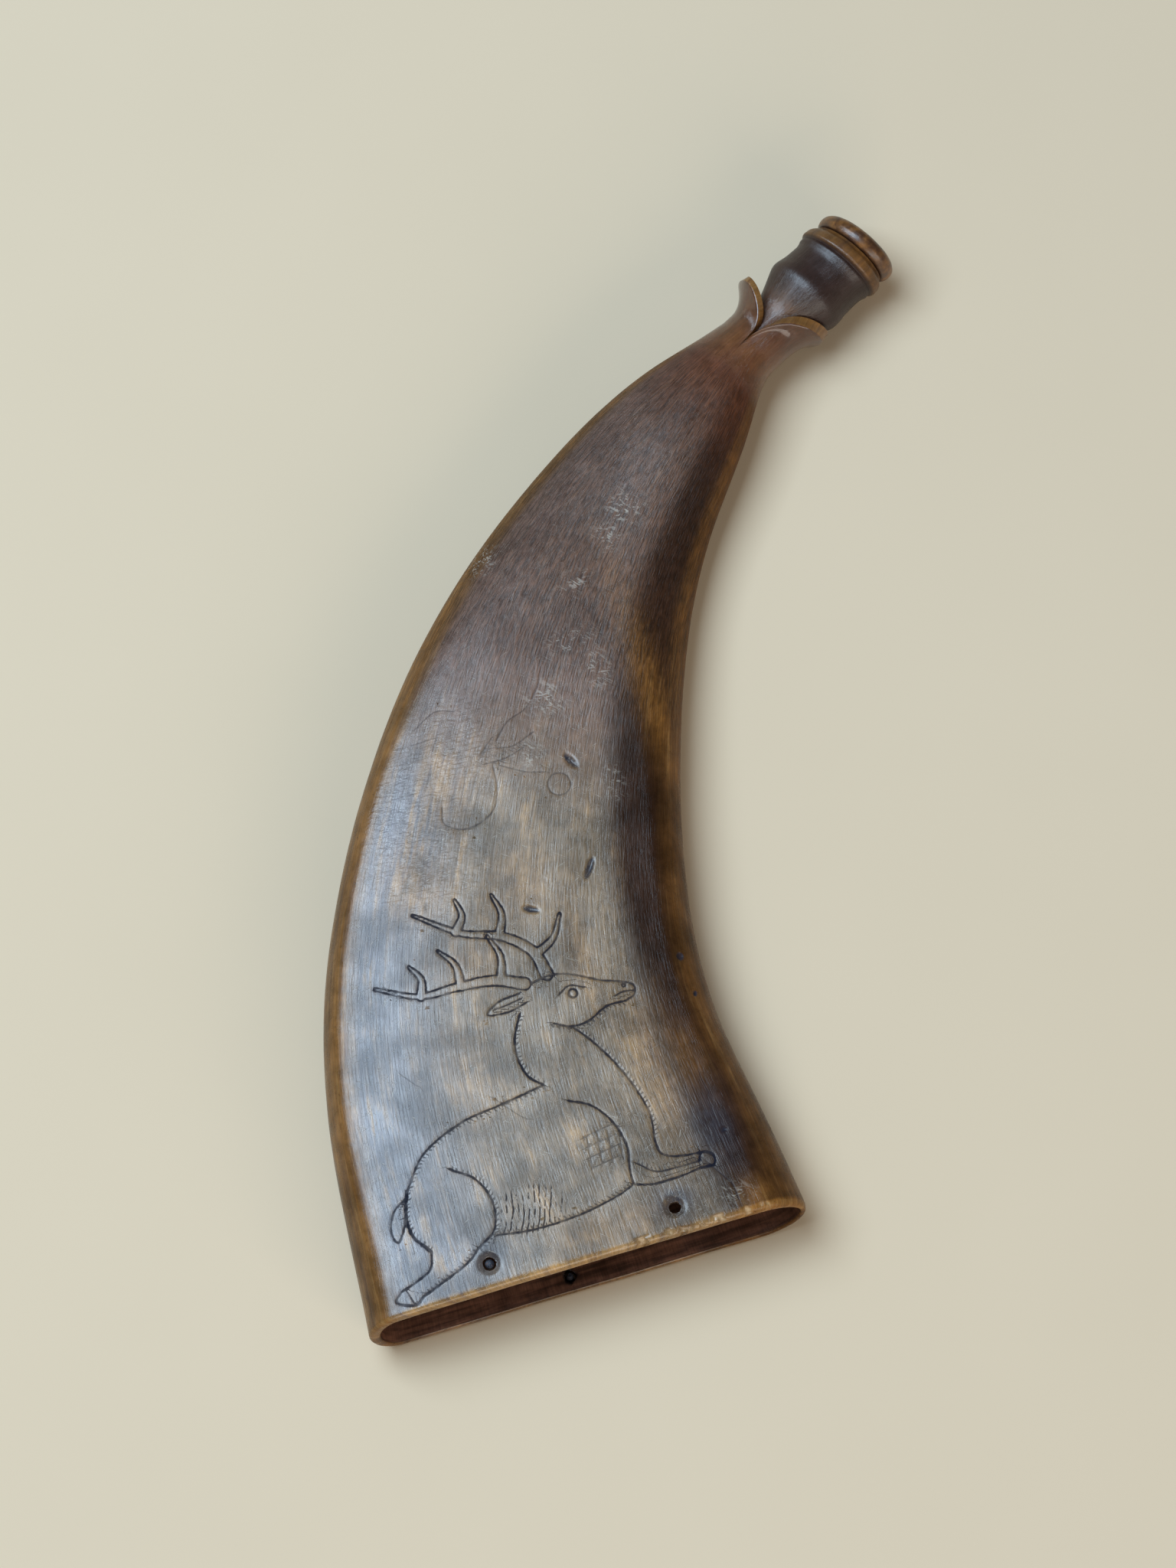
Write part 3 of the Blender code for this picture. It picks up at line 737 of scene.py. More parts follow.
SCUFFS = (
    (52.0, 146.0, 3.2, 3.0, 0.9),
    (47.0, 141.5, 2.6, 2.6, 0.7),
    (21.0, 145.0, 3.0, 3.4, 0.8),
    (37.9, 134.0, 3.0, 1.6, 0.8),
    (33.5, 122.6, 4.4, 1.6, 1.0),
    (36.9, 115.4, 2.4, 4.0, 0.7),
    (25.0, 112.0, 4.0, 3.4, 0.8),
    (18.5, 101.9, 3.4, 2.6, 0.8),
    (33.0, 92.0, 1.8, 3.0, 0.7),
    (31.0, 4.5, 3.5, 2.5, 0.5),
)
STAINS = ((-17.4, 6.6, 3.4, 3.4, 0.9), (19.8, 6.4, 4.6, 4.2, 1.0), (31.0, 20.0, 5.0, 9.0, 0.7))


def patches(points, table):
    """Strength of the strongest soft patch at each point."""
    strongest = np.zeros(len(points))
    for x, y, reach_x, reach_y, strength in table:
        spread = ((points[:, 0] - x) / reach_x) ** 2 + ((points[:, 1] - y) / reach_y) ** 2
        strongest = np.maximum(strongest, strength * np.exp(-spread))
    return strongest


def tones(points, along, angle, kind):
    """How pale and how amber the horn is at each vertex."""
    across = shell_offsets(along, angle, 0.0, 0.0)[0] / body_size(along)[0]
    share = along / BODY_LENGTH
    beyond = along - BODY_LENGTH
    upper = (np.cos(angle) > 0.0).astype(float)
    shade_start = 0.46 - 0.11 * smoothstep(0.25, 0.45, share)
    right_shade = smoothstep(shade_start, shade_start + 0.34, -across)
    left_side = smoothstep(0.80, 0.93, across)
    pale = (1.0 - right_shade) * (1.0 - 0.6 * smoothstep(0.42, 0.66, share)) * (1.0 - 0.8 * left_side)
    pale = pale * (1.0 - 0.45 * smoothstep(0.85, 1.0, share)) * (0.35 + 0.65 * upper)
    amber = patches(points, AMBER_PATCHES) * ((kind <= LEAF_OUT) & (points[:, 2] > 1.0))
    amber = np.maximum(amber, 0.9 * left_side * (1.0 - 0.4 * smoothstep(0.5, 0.9, share)))
    amber = np.maximum(amber, 0.55 * smoothstep(0.80, 0.95, -across))
    amber = np.where(kind == LEAF_OUT, np.maximum(amber, 0.4 * smoothstep(0.94, 1.02, share)), amber)
    amber = np.where(kind == LEAF_EDGE, 1.15, amber)
    golden = 0.5 + 0.9 * upper
    amber = np.where(kind == RIM, golden, amber)
    near_rim = 1.0 - smoothstep(0.7, 2.0, along)
    amber = np.where(kind == BODY, np.maximum(amber, golden * near_rim), amber)
    spout = kind >= LEAF_IN
    cradle = np.exp(-((beyond - 9.5) / 4.0) ** 2 - (angle / 0.8) ** 2)
    lip = smoothstep(25.6, 26.4, beyond)
    pale = np.where(spout, 0.45 * cradle, pale)
    amber = np.where(spout, np.maximum(0.3 * cradle, 0.8 * lip), amber)
    return np.where(kind == HOLE_WALL, 0.0, (pale, amber))


def colour_fields(points, along, angle, kind, chips):
    """Vertex fields that the horn's material reads, each with three channels."""
    share = along / BODY_LENGTH
    inside = ((kind == HOLLOW) | (kind == BORE)).astype(float)
    face = on_show_face(points, kind)
    stained = np.maximum(patches(points, STAINS), smoothstep(0.0, 0.22, dents(points)))
    marks = (patches(points, ROUGH_PATCHES), patches(points, SCUFFS), stained)
    rough, scuff, stain = np.where(face, marks, 0.0)
    polish = np.where(kind <= LEAF_OUT, 2.0 * smoothstep(0.94, 1.01, share), 1.0 - inside)
    polish = np.where(kind == LEAF_EDGE, 1.3, polish)
    wrapped = (FIBRE_RADIUS * np.sin(angle), FIBRE_RADIUS * np.cos(angle), along + HOLLOW_SHIFT * inside)
    fields = {
        "flow": wrapped,
        "tone": (*tones(points, along, angle, kind), chips),
        "marks": (rough, scuff, stain),
        "zone": (inside, share, polish),
    }
    return {name: np.stack(channels, axis=1) for name, channels in fields.items()}


def set_fields(mesh, fields):
    """Write three-channel vertex fields onto a mesh."""
    for name, values in fields.items():
        attribute = mesh.attributes.new(name, "FLOAT_VECTOR", "POINT")
        attribute.data.foreach_set("vector", np.ascontiguousarray(values, np.float32).ravel())


# ---- Building the pieces ----

CREASE = 38.0                 # edges sharper than this are shaded as edges
NAIL_CREASE = 60.0


def in_scene(name, data):
    """A new scene object."""
    result = bpy.data.objects.new(name, data)
    bpy.context.scene.collection.objects.link(result)
    return result


def add_piece(name, mesh_data, surface, crease=CREASE):
    """Turn a bmesh in millimetres into a smooth-shaded scene object in metres."""
    bmesh.ops.recalc_face_normals(mesh_data, faces=mesh_data.faces[:])
    bmesh.ops.scale(mesh_data, vec=(MILLIMETRE,) * 3, verts=mesh_data.verts[:])
    mesh = bpy.data.meshes.new(name)
    mesh_data.to_mesh(mesh)
    mesh_data.free()
    mesh.shade_smooth()
    mesh.set_sharp_from_angle(angle=math.radians(crease))
    piece = in_scene(name, mesh)
    if surface is not None:
        mesh.materials.append(surface)
    return piece


def take_place(piece, node):
    """Let a piece stand for a CAD node, on that node's body."""
    body = next(name for name, nodes in frame["record"]["behaviour"]["bodies"].items() if node in nodes)
    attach(piece, body)
    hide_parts(node)


FRONT_WALL, BACK_WALL = (15.0, 25.0), (-3.0, 5.0)   # heights that a hole through each wall spans


def hole_cutter(x, y, radius, low, high):
    """A cylinder through one wall."""
    data = bmesh.new()
    bmesh.ops.create_cone(data, cap_ends=True, segments=48, radius1=radius, radius2=radius, depth=high - low)
    bmesh.ops.translate(data, vec=(x, y, 0.5 * (low + high)), verts=data.verts[:])
    return add_piece("cutter", data, None)


def cut_holes(piece):
    """Bore the nail holes and keep the result as the piece's own mesh."""
    cutters = [hole_cutter(*hole, *FRONT_WALL) for hole in FRONT_HOLES]
    cutters += [hole_cutter(*hole, *BACK_WALL) for hole in BACK_HOLES]
    for cutter in cutters:
        modifier = piece.modifiers.new("hole", "BOOLEAN")
        modifier.operation = "DIFFERENCE"
        modifier.solver = "EXACT"
        modifier.object = cutter
    bpy.context.view_layer.update()
    result = bpy.data.meshes.new_from_object(piece.evaluated_get(bpy.context.evaluated_depsgraph_get()))
    piece.modifiers.clear()
    piece.data = result
    for cutter in cutters:
        bpy.data.objects.remove(cutter)


SAME_PLACE = 2e-6             # metres


def nearest_vertices(points, mesh):
    """For each vertex of a mesh: the index of the nearest given point, and whether it is at that point."""
    tree = kdtree.KDTree(len(points))
    for i, point in enumerate(points):
        tree.insert(point * MILLIMETRE, i)
    tree.balance()
    found = [tree.find(vertex.co) for vertex in mesh.vertices]
    same = np.array([distance for _, _, distance in found]) < SAME_PLACE
    return np.array([index for _, index, _ in found]), same


def set_points(grid, points):
    """Move the vertices to the given points."""
    for vertex, point in zip(grid.verts, points):
        vertex.co = point


def make_horn(surface):
    """The horn: body, leaf collar and spout, with its cuts, dents, chips and nail holes."""
    grid, layers = build_grid()
    points, along, angle, kind = refine(grid, layers)
    set_points(grid, points)
    bmesh.ops.recalc_face_normals(grid, faces=grid.faces[:])
    grid.normal_update()
    normals = np.array([vertex.normal for vertex in grid.verts])
    field = cut_lines(points[:, :2])
    field[~on_show_face(points, kind)] = (FAR, FAR, 0.0, 0.0, 0.0, 0.0)
    points = points + normals * relief(points, kind, field)[:, None]
    chips = rim_chips(points, kind)
    points = points + chips[:, None] * np.array((0.0, CHIP_RETREAT, -CHIP_DROP))
    set_points(grid, points)
    piece = add_piece("horn", grid, surface)
    cut_holes(piece)
    index, same = nearest_vertices(points, piece.data)
    kind = np.where(same, kind[index], HOLE_WALL)
    fields = colour_fields(points[index], along[index], angle[index], kind, chips[index])
    fields["line"] = field[index, :3]
    fields["ink"] = field[index, 3:]
    set_fields(piece.data, fields)
    take_place(piece, "horn_body")


STOPPER_OUTLINE = (           # beyond the seat: height, radius
    (0.0, 8.2), (0.25, 8.55), (0.7, 8.8), (1.5, 9.0), (2.4, 8.9), (3.1, 8.4), (3.6, 7.3), (4.0, 5.2),
    (4.3, 2.6), (4.42, 0.6),
)
SEAT_GAP = 0.3
SHANK_END = ((-14.0, 2.5), (-13.7, 3.0), (-13.2, 3.3))
SHANK_TOP = ((0.1, 3.66), (0.3, 3.7))
STOPPER_SIDES = 96


def close_ends(data, rings):
    """Join rings of vertices and close the first and the last."""
    join_rings(data, rings)
    data.faces.new(rings[0])
    data.faces.new(rings[-1])


def make_stopper(surface):
    """The stopper: shank in the bore and a rounded head against the spout's mouth."""
    head = curve_through([(SEAT_GAP + height, radius) for height, radius in STOPPER_OUTLINE], 0.2)
    outline = np.vstack((curve_through(SHANK_END, 0.2), SHANK_TOP, head))
    turns = np.arange(STOPPER_SIDES) * 2.0 * math.pi / STOPPER_SIDES
    data = bmesh.new()
    rings = []
    for height, radius in outline:
        points = round_points(BODY_LENGTH + MOUTH + height, turns, radius)
        rings.append([data.verts.new(point) for point in points])
    close_ends(data, rings)
    bumps = 0.05 * noise_at(np.array([vertex.co for vertex in data.verts]), 3.0, 21.0)
    data.normal_update()
    for vertex, bump in zip(data.verts, bumps):
        vertex.co += vertex.normal * float(bump)
    piece = add_piece("stopper", data, surface)
    angles = np.tile(turns, len(outline))
    heights, radii = np.repeat(outline, STOPPER_SIDES, axis=0).T
    set_fields(piece.data, {"turned": np.stack((angles, radii, heights), axis=1)})
    take_place(piece, "spout_stopper")


STUB_SIDES = 28
# Outline of a broken nail, from its inner end to its broken end: share of its length, share of its radius.
STUB_OUTLINE = (
    (0.0, 0.42), (0.1, 0.62), (0.2, 0.7),
    *((share, 0.7 + 0.3 * share) for share in np.linspace(0.3, 0.9, 9)),
    (0.94, 0.97), (0.97, 0.85), (0.99, 0.6), (1.0, 0.3),
)
STUB_RUST_LIMIT = 0.02        # highest bump, so that the nail stays in its hole


def make_stub(name, node, outward, surface):
    """A broken, rusted nail as long and as thick as its CAD node. outward is +1 or -1, along Z."""
    low, high = (np.array(corner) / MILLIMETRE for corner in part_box(node))
    centre = 0.5 * (low + high)
    radius = 0.5 * (high[0] - low[0])
    data = bmesh.new()
    rings = []
    for share, thickness in STUB_OUTLINE:
        height = (share - 0.5) * (high[2] - low[2]) * outward
        ring = []
        for turn in np.arange(STUB_SIDES) * 2.0 * math.pi / STUB_SIDES:
            side = np.array((math.cos(turn), math.sin(turn), 0.0))
            point = centre + radius * thickness * side + (0.0, 0.0, height)
            rust = 0.06 * noise.noise(Vector(point) / 0.45) + 0.05 * noise.noise(Vector(point) / 1.1)
            jagged = 0.22 * noise.noise(Vector(point) / 0.7 + Vector((5.0, 0.0, 0.0)))
            end = abs(jagged) * smoothstep(0.9, 1.0, share)
            ring.append(data.verts.new(point + side * min(rust, STUB_RUST_LIMIT) - (0.0, 0.0, end * outward)))
        rings.append(ring)
    close_ends(data, rings)
    take_place(add_piece(name, data, surface, NAIL_CREASE), node)


# ---- Materials ----

class Surface:
    """A principled material whose inputs come from nodes."""

    def __init__(self, name):
        self.material = bpy.data.materials.new(name)
        self.material.use_nodes = True
        self.tree = self.material.node_tree
        self.shader = self.tree.nodes["Principled BSDF"]

    def node(self, kind, *sources):
        """A new node with the given sources on its first inputs."""
        node = self.tree.nodes.new(kind)
        for socket, source in zip(node.inputs, sources):
            self.feed(socket, source)
        return node

    def feed(self, socket, source):
        """Link another node's output to an input, or set the input to a value."""
        if isinstance(source, bpy.types.NodeSocket):
            self.tree.links.new(source, socket)
        elif isinstance(source, tuple) and len(source) == 3 and socket.type == "RGBA":
            socket.default_value = (*source, 1.0)
        else:
            socket.default_value = source

    def set(self, name, source):
        self.feed(self.shader.inputs[name], source)

    def place(self):
        """The piece's own coordinates in millimetres."""
        return self.scaled(self.node("ShaderNodeTexCoord").outputs["Object"], (1.0 / MILLIMETRE,) * 3)

    def split(self, vector):
        return tuple(self.node("ShaderNodeSeparateXYZ", vector).outputs)

    def combined(self, *values):
        return self.node("ShaderNodeCombineXYZ", *values).outputs[0]

    def channels(self, name):
        """A vertex field's vector and its three channels."""
        node = self.node("ShaderNodeAttribute")
        node.attribute_name = name
        return (node.outputs["Vector"], *self.split(node.outputs["Vector"]))

    def scaled(self, vector, scale):
        node = self.node("ShaderNodeVectorMath", vector, scale)
        node.operation = "MULTIPLY"
        return node.outputs[0]

    def shaded(self, colour, shade):
        """A colour made lighter or darker by a number."""
        node = self.node("ShaderNodeVectorMath", colour)
        node.operation = "SCALE"
        self.feed(node.inputs["Scale"], shade)
        return node.outputs[0]

    def upward(self):
        """How far the surface faces up, from -1 to 1."""
        return self.split(self.node("ShaderNodeNewGeometry").outputs["Normal"])[2]

    def turned(self, vector, degrees):
        """A vector turned about Z."""
        node = self.node("ShaderNodeVectorRotate", vector)
        node.rotation_type = "Z_AXIS"
        node.inputs["Angle"].default_value = math.radians(degrees)
        return node.outputs[0]

    def math(self, operation, first, second=0.0):
        node = self.node("ShaderNodeMath", first, second)
        node.operation = operation
        return node.outputs[0]

    def times(self, *values):
        return functools.reduce(functools.partial(self.math, "MULTIPLY"), values)

    def largest(self, *values):
        return functools.reduce(functools.partial(self.math, "MAXIMUM"), values)

    def plus(self, first, second):
        return self.math("ADD", first, second)

    def minus(self, first, second):
        return self.math("SUBTRACT", first, second)

    def beat(self, value):
        """A wave that goes from half to nothing and back for each step of one in the value."""
        return self.math("ABSOLUTE", self.minus(self.math("FRACT", value), 0.5))

    def ramp(self, value, low, high, start=0.0, end=1.0):
        """Smooth step from start to end while the value goes from low to high."""
        node = self.node("ShaderNodeMapRange", value, low, high, start, end)
        node.interpolation_type = "SMOOTHSTEP"
        return node.outputs[0]

    def noise(self, vector, size, stretch=(1.0, 1.0, 1.0), detail=2.0, roughness=0.55):
        """Noise with features of a size in millimetres, drawn out by the stretch in each direction."""
        node = self.node("ShaderNodeTexNoise", self.scaled(vector, tuple(1.0 / value for value in stretch)))
        node.inputs["Scale"].default_value = 1.0 / size
        node.inputs["Detail"].default_value = detail
        node.inputs["Roughness"].default_value = roughness
        return node.outputs[0]

    def mix(self, share, first, second):
        node = self.node("ShaderNodeMix")
        node.data_type = "RGBA"
        for i, source in ((0, share), (6, first), (7, second)):
            self.feed(node.inputs[i], source)
        return node.outputs[2]

    def covered(self, colour, *coats):
        """A colour with others laid over it in turn, each a (share, colour) pair."""
        for share, coat in coats:
            colour = self.mix(share, colour, coat)
        return colour

    def bump(self, *layers):
        """Stack bump layers, each a (height, distance in millimetres) pair, and set the normal."""
        normal = None
        for height, distance in layers:
            node = self.node("ShaderNodeBump")
            self.feed(node.inputs["Height"], height)
            node.inputs["Distance"].default_value = distance * MILLIMETRE
            if normal is not None:
                self.feed(node.inputs["Normal"], normal)
            normal = node.outputs[0]
        self.set("Normal", normal)


DEEP_HORN = (0.032, 0.0125, 0.0055)
UPPER_HORN = (0.180, 0.088, 0.050)
RED_HORN = (0.128, 0.038, 0.0145)
LEAF_RED = (0.060, 0.014, 0.006)
BARREL_HORN = (0.019, 0.0078, 0.0072)
GREY_HORN = (0.176, 0.118, 0.066)
AMBER_HORN = (0.205, 0.084, 0.017)
STRAW_HORN = (0.38, 0.215, 0.078)
# painted reflection: a bluish sky sheen laid into the colour on the left of the face
PAINTED_SHEEN_BLUE = (0.158, 0.170, 0.212)
HOLLOW_HORN = (0.150, 0.066, 0.040)
INK = (0.009, 0.010, 0.018)
STAIN = (0.022, 0.024, 0.036)
DUST = (0.52, 0.48, 0.41)
# pale fresh chip faces on the front rim, partly a painted highlight along the chipped edges
CHIP_AND_PAINTED_HIGHLIGHT = (0.44, 0.30, 0.165)

# Hatched oval on the stag's belly, and the slant and spacing of its strokes.
HATCH_MIDDLE, HATCH_REACH = (-8.0, 13.0), (8.5, 5.5)
HATCH_SLANT, HATCH_STEP = 18.0, 1.05
TICK_STEP = 0.95              # between the ticks along a cut line

# Thin marks on the face: size, length, direction, and the noise range over which they appear.
FLAKES = ((0.42, 6.0, -38.0, 0.54, 0.62), (0.34, 5.0, -80.0, 0.56, 0.64))
HAIRS = ((0.17, 26.0, 24.0, 0.66, 0.73), (0.15, 22.0, -52.0, 0.67, 0.74), (0.15, 18.0, 70.0, 0.67, 0.74))


class HornSurface(Surface):
    """Horn: dark brown with grey, straw and amber streaks along it, worn to satin, with inked cuts."""

    def __init__(self):
        super().__init__("horn")
        self.spot = self.place()
        self.flow, self.leftwards, _, _ = self.channels("flow")
        _, self.pale, self.amber, self.chip = self.channels("tone")
        _, self.rough, self.scuff, self.stain = self.channels("marks")
        _, self.inside, self.share, self.polish = self.channels("zone")
        self.upper = self.ramp(self.share, 0.42, 0.62)
        self.furry = self.times(self.ramp(self.share, 0.45, 0.7), self.ramp(self.share, 1.0, 0.93))
        self.barrel = self.times(self.ramp(self.share, 1.03, 1.06), self.ramp(self.polish, 1.25, 1.1), 0.7)
        self.broad = self.fibrous(3.4, 16.0, 3.0, 0.55)
        self.streak = self.fibrous(1.1, 22.0, 3.0, 0.6)
        self.short = self.fibrous(1.3, 8.0, 4.0, 0.65)
        self.fibre = self.fibrous(0.32, 14.0, 2.0, 0.65)
        self.fur = self.fibrous(0.40, 6.5, 2.0, 0.6)
        self.cloud = self.noise(self.spot, 11.0, detail=3.0)
        self.mottle = self.noise(self.spot, 2.6, detail=4.0, roughness=0.65)
        self.dust = self.scuffs()
        self.hairs = self.hairlines()
        self.ink = self.largest(self.inked_lines(), self.hatching())
        colour = self.mix(self.inside, self.clean_colour(), self.hollow_colour())
        self.set("Base Color", self.worn_colour(self.shaded(colour, self.shade())))
        self.set_gloss()
        self.set_relief()

    def fibrous(self, size, length, detail, roughness):
        """Noise drawn out along the horn."""
        return self.noise(self.flow, size, (1.0, 1.0, length), detail, roughness)

    def clean_colour(self):
        """The horn's own colour, with a painted bluish sky sheen on the left of the face, before shading and
        wear.
        """
        ramp, times, share, pale, amber = self.ramp, self.times, self.share, self.pale, self.amber
        ground = self.mix(ramp(pale, 0.0, 0.9), DEEP_HORN, self.mix(self.upper, GREY_HORN, UPPER_HORN))
        ruddy = times(ramp(share, 0.84, 1.0), ramp(share, 1.06, 1.045, 0.12, 0.75))
        # painted reflection: bluish sky sheen on the left of the face, fading on its upper half
        painted_sheen = times(ramp(self.leftwards, 0.2 * FIBRE_RADIUS, 0.85 * FIBRE_RADIUS), pale, 0.75,
                         ramp(share, 0.4, 0.62, 1.0, 0.22))
        streaky = times(ramp(self.short, 0.42, 0.66), ramp(self.broad, 0.42, 0.62),
                        ramp(self.cloud, 0.35, 0.6, 0.35, 1.0), pale, ramp(self.upper, 0.0, 1.0, 0.75, 0.12))
        glow = times(amber, ramp(self.broad, 0.25, 0.6, 0.45, 1.0), ramp(pale, 0.4, 0.9, 1.0, 0.5))
        ochre = times(amber, pale, ramp(self.short, 0.32, 0.55), ramp(self.broad, 0.3, 0.55, 0.4, 1.0), 0.8)
        collar = ramp(share, 0.90, 0.98)
        grained = times(amber, ramp(self.streak, 0.5, 0.75), ramp(collar, 0.0, 1.0, 0.5, 0.08))
        gold = times(ramp(amber, 1.0, 1.4), ramp(self.streak, 0.3, 0.7, 0.08, 0.42))
        leafy = times(ramp(self.polish, 1.4, 2.0, 0.0, 0.6), ramp(share, 0.97, 1.03))
        return self.covered(
            ground,
            (ruddy, RED_HORN),
            (self.barrel, BARREL_HORN),
            (painted_sheen, PAINTED_SHEEN_BLUE),
            (streaky, STRAW_HORN),
            (glow, AMBER_HORN),
            (ochre, STRAW_HORN),
            (grained, STRAW_HORN),
            (gold, STRAW_HORN),
            (leafy, LEAF_RED),
        )

    def hollow_colour(self):
        """The inside, banded across, with painted shade making it darker behind the rim."""
        bands = self.noise(self.flow, 1.1, (12.0, 12.0, 1.0), 3.0, 0.65)
        # painted shade: the hollow darkens a few millimetres behind the rim, where little light reaches
        painted_shade_past_rim = self.ramp(self.share, 0.026, 0.048, 1.0, 0.2)
        return self.shaded(HOLLOW_HORN, self.times(self.ramp(bands, 0.35, 0.65, 0.45, 1.15), painted_shade_past_rim))

    def shade(self):
        """Lightness of the blotches, the fibres and, further up, the fur-like streaks."""
        ramp, upper, furry = self.ramp, self.upper, self.furry
        blotchy = ramp(self.cloud, 0.3, 0.7, ramp(upper, 0.0, 1.0, 0.58, 0.84),
                       ramp(upper, 0.0, 1.0, 1.18, 1.10))
        streaks = ramp(self.fur, 0.35, 0.65, ramp(furry, 0.0, 1.0, 1.0, 0.62),
                       ramp(furry, 0.0, 1.0, 1.0, 1.35))
        return self.times(blotchy, ramp(self.mottle, 0.3, 0.7, 0.80, 1.14),
                          ramp(self.fibre, 0.3, 0.7, 0.80, 1.16), streaks)

    def worn_colour(self, colour):
        """A colour with specks, stains, scuffs, hairline scratches, pale chips with a painted highlight, and
        ink on it.
        """
        speck = self.ramp(self.noise(self.spot, 0.55, detail=1.0), 0.70, 0.76)
        return self.covered(
            colour,
            (self.times(speck, 0.5), DEEP_HORN),
            (self.times(self.stain, self.ramp(self.mottle, 0.3, 0.6, 0.5, 0.95)), STAIN),
            (self.times(self.dust, 0.75), DUST),
            (self.times(self.hairs, 0.35), DUST),
            # pale chips on the front rim, partly a painted highlight along the chipped edge
            (self.times(self.chip, self.ramp(self.mottle, 0.4, 0.55, 0.25, 0.9)), CHIP_AND_PAINTED_HIGHLIGHT),
            (self.ink, INK),
        )

    def thin_marks(self, table):
        """Thin straight marks: noise drawn out in one direction, cut off near its peaks."""
        return self.largest(*(
            self.ramp(self.noise(self.turned(self.spot, turn), size, (1.0, length, 1.0), detail=1.0),
                      low, high)
            for size, length, turn, low, high in table
        ))

    def scuffs(self):
        """Pale torn flakes in the scuffed patches."""
        torn = self.ramp(self.noise(self.spot, 1.7, detail=3.0, roughness=0.7), 0.44, 0.56)
        spotty = self.ramp(self.mottle, 0.35, 0.55, 0.5, 1.0)
        return self.times(self.scuff, self.thin_marks(FLAKES), torn, spotty)

    def hairlines(self):
        """Hairline scratches on the pale part of the face."""
        before_neck = self.ramp(self.share, 0.97, 0.9)
        return self.times(self.thin_marks(HAIRS), self.ramp(self.pale, 0.2, 0.8), before_neck)

    def inked_lines(self):
        """Where cut lines are dark, with a hand's unevenness and small ticks across some of them."""
        _, signed, plain, along = self.channels("line")
        _, width, strength, ticks = self.channels("ink")
        uneven = self.noise(self.spot, 0.9)
        reach = self.math("ABSOLUTE", signed)
        half = self.times(width, self.ramp(uneven, 0.25, 0.75, 0.30, 0.62))
        core = self.ramp(self.minus(reach, half), 0.11, -0.10)
        slanted = self.plus(self.math("DIVIDE", along, TICK_STEP), self.times(signed, 0.45))
        slanted = self.plus(slanted, self.times(self.noise(self.spot, 2.0), 1.6))
        within = self.ramp(reach, self.ramp(uneven, 0.3, 0.7, 0.7, 1.5), 0.6)
        inner = self.ramp(signed, -0.25, 0.0)
        tick = self.times(self.ramp(self.beat(slanted), 0.22, 0.12), within, inner, ticks)
        line = self.largest(core, self.times(tick, 0.7))
        patchy = self.ramp(self.noise(self.spot, 2.4), 0.3, 0.6, 0.62, 1.0)
        return self.times(line, self.ramp(plain, 1.6, 1.3), strength, patchy)

    def hatching(self):
        """Fine slanted strokes along the belly of the stag."""
        x = self.split(self.turned(self.spot, HATCH_SLANT))[0]
        bent = self.plus(self.math("DIVIDE", x, HATCH_STEP), self.times(self.noise(self.spot, 6.0), 1.6))
        reaches = []
        for value, middle, reach in zip(self.split(self.spot), HATCH_MIDDLE, HATCH_REACH):
            reaches.append(self.math("POWER", self.math("DIVIDE", self.minus(value, middle), reach), 2.0))
        inside = self.ramp(self.plus(*reaches), 1.0, 0.6)
        broken = self.ramp(self.noise(self.spot, 1.6), 0.38, 0.55)
        return self.times(self.ramp(self.beat(bent), 0.20, 0.08), inside, broken, 0.85)

    def set_gloss(self):
        """Satin on the face, duller where it is worn, dirty or cut, and polished on the leaves."""
        ramp, times = self.ramp, self.times
        roughness = self.minus(ramp(self.mottle, 0.3, 0.7, 0.24, 0.34), times(self.polish, 0.06))
        duller = ((self.dust, 0.3), (self.ink, 0.25), (self.inside, 0.25), (self.rough, 0.05),
                  (self.chip, 0.1), (self.furry, 0.08), (self.barrel, 0.16))
        for mask, extra in duller:
            roughness = self.plus(roughness, times(mask, extra))
        self.set("Roughness", roughness)
        self.set("IOR", 1.54)
        facing = ramp(self.upward(), 0.3, 0.9, 0.35, 1.0)
        dull = times(ramp(self.ink, 0.0, 1.0, 1.0, 0.15), ramp(self.stain, 0.6, 1.0, 1.0, 0.6))
        dark = ramp(self.largest(self.pale, self.polish), 0.0, 0.6, 0.35, 1.0)
        patches_low = ramp(self.upper, 0.0, 1.0, 0.6, 0.85)
        worn = times(ramp(self.cloud, 0.3, 0.7, patches_low, 1.1), ramp(self.short, 0.3, 0.7, 0.75, 1.1))
        worn = self.largest(worn, self.math("MINIMUM", self.polish, 1.0))
        self.set("Specular IOR Level", times(dull, dark, facing, worn, 0.5))
        lit = times(ramp(self.pale, 0.0, 0.5), ramp(self.upper, 0.0, 1.0, 0.3, 0.12), facing)
        polished = times(self.polish, ramp(self.barrel, 0.0, 0.7, 0.35, 0.12))
        bare = self.minus(1.0, self.largest(self.inside, self.ink))
        self.set("Coat Weight", times(bare, self.largest(lit, polished)))
        self.set("Coat Roughness", ramp(self.polish, 0.0, 2.0, 0.25, 0.12))

    def set_relief(self):
        """Fine bumps: fibres, fur-like streaks, ripples, mottling, scratches and cuts."""
        ripple = self.times(self.noise(self.spot, 0.75, (2.6, 1.0, 1.0)), self.rough)
        self.bump((self.fibre, 0.08), (self.times(self.fur, self.furry), 0.16), (ripple, 0.35),
                  (self.mottle, 0.05), (self.minus(1.0, self.hairs), 0.02), (self.minus(1.0, self.ink), 0.03))


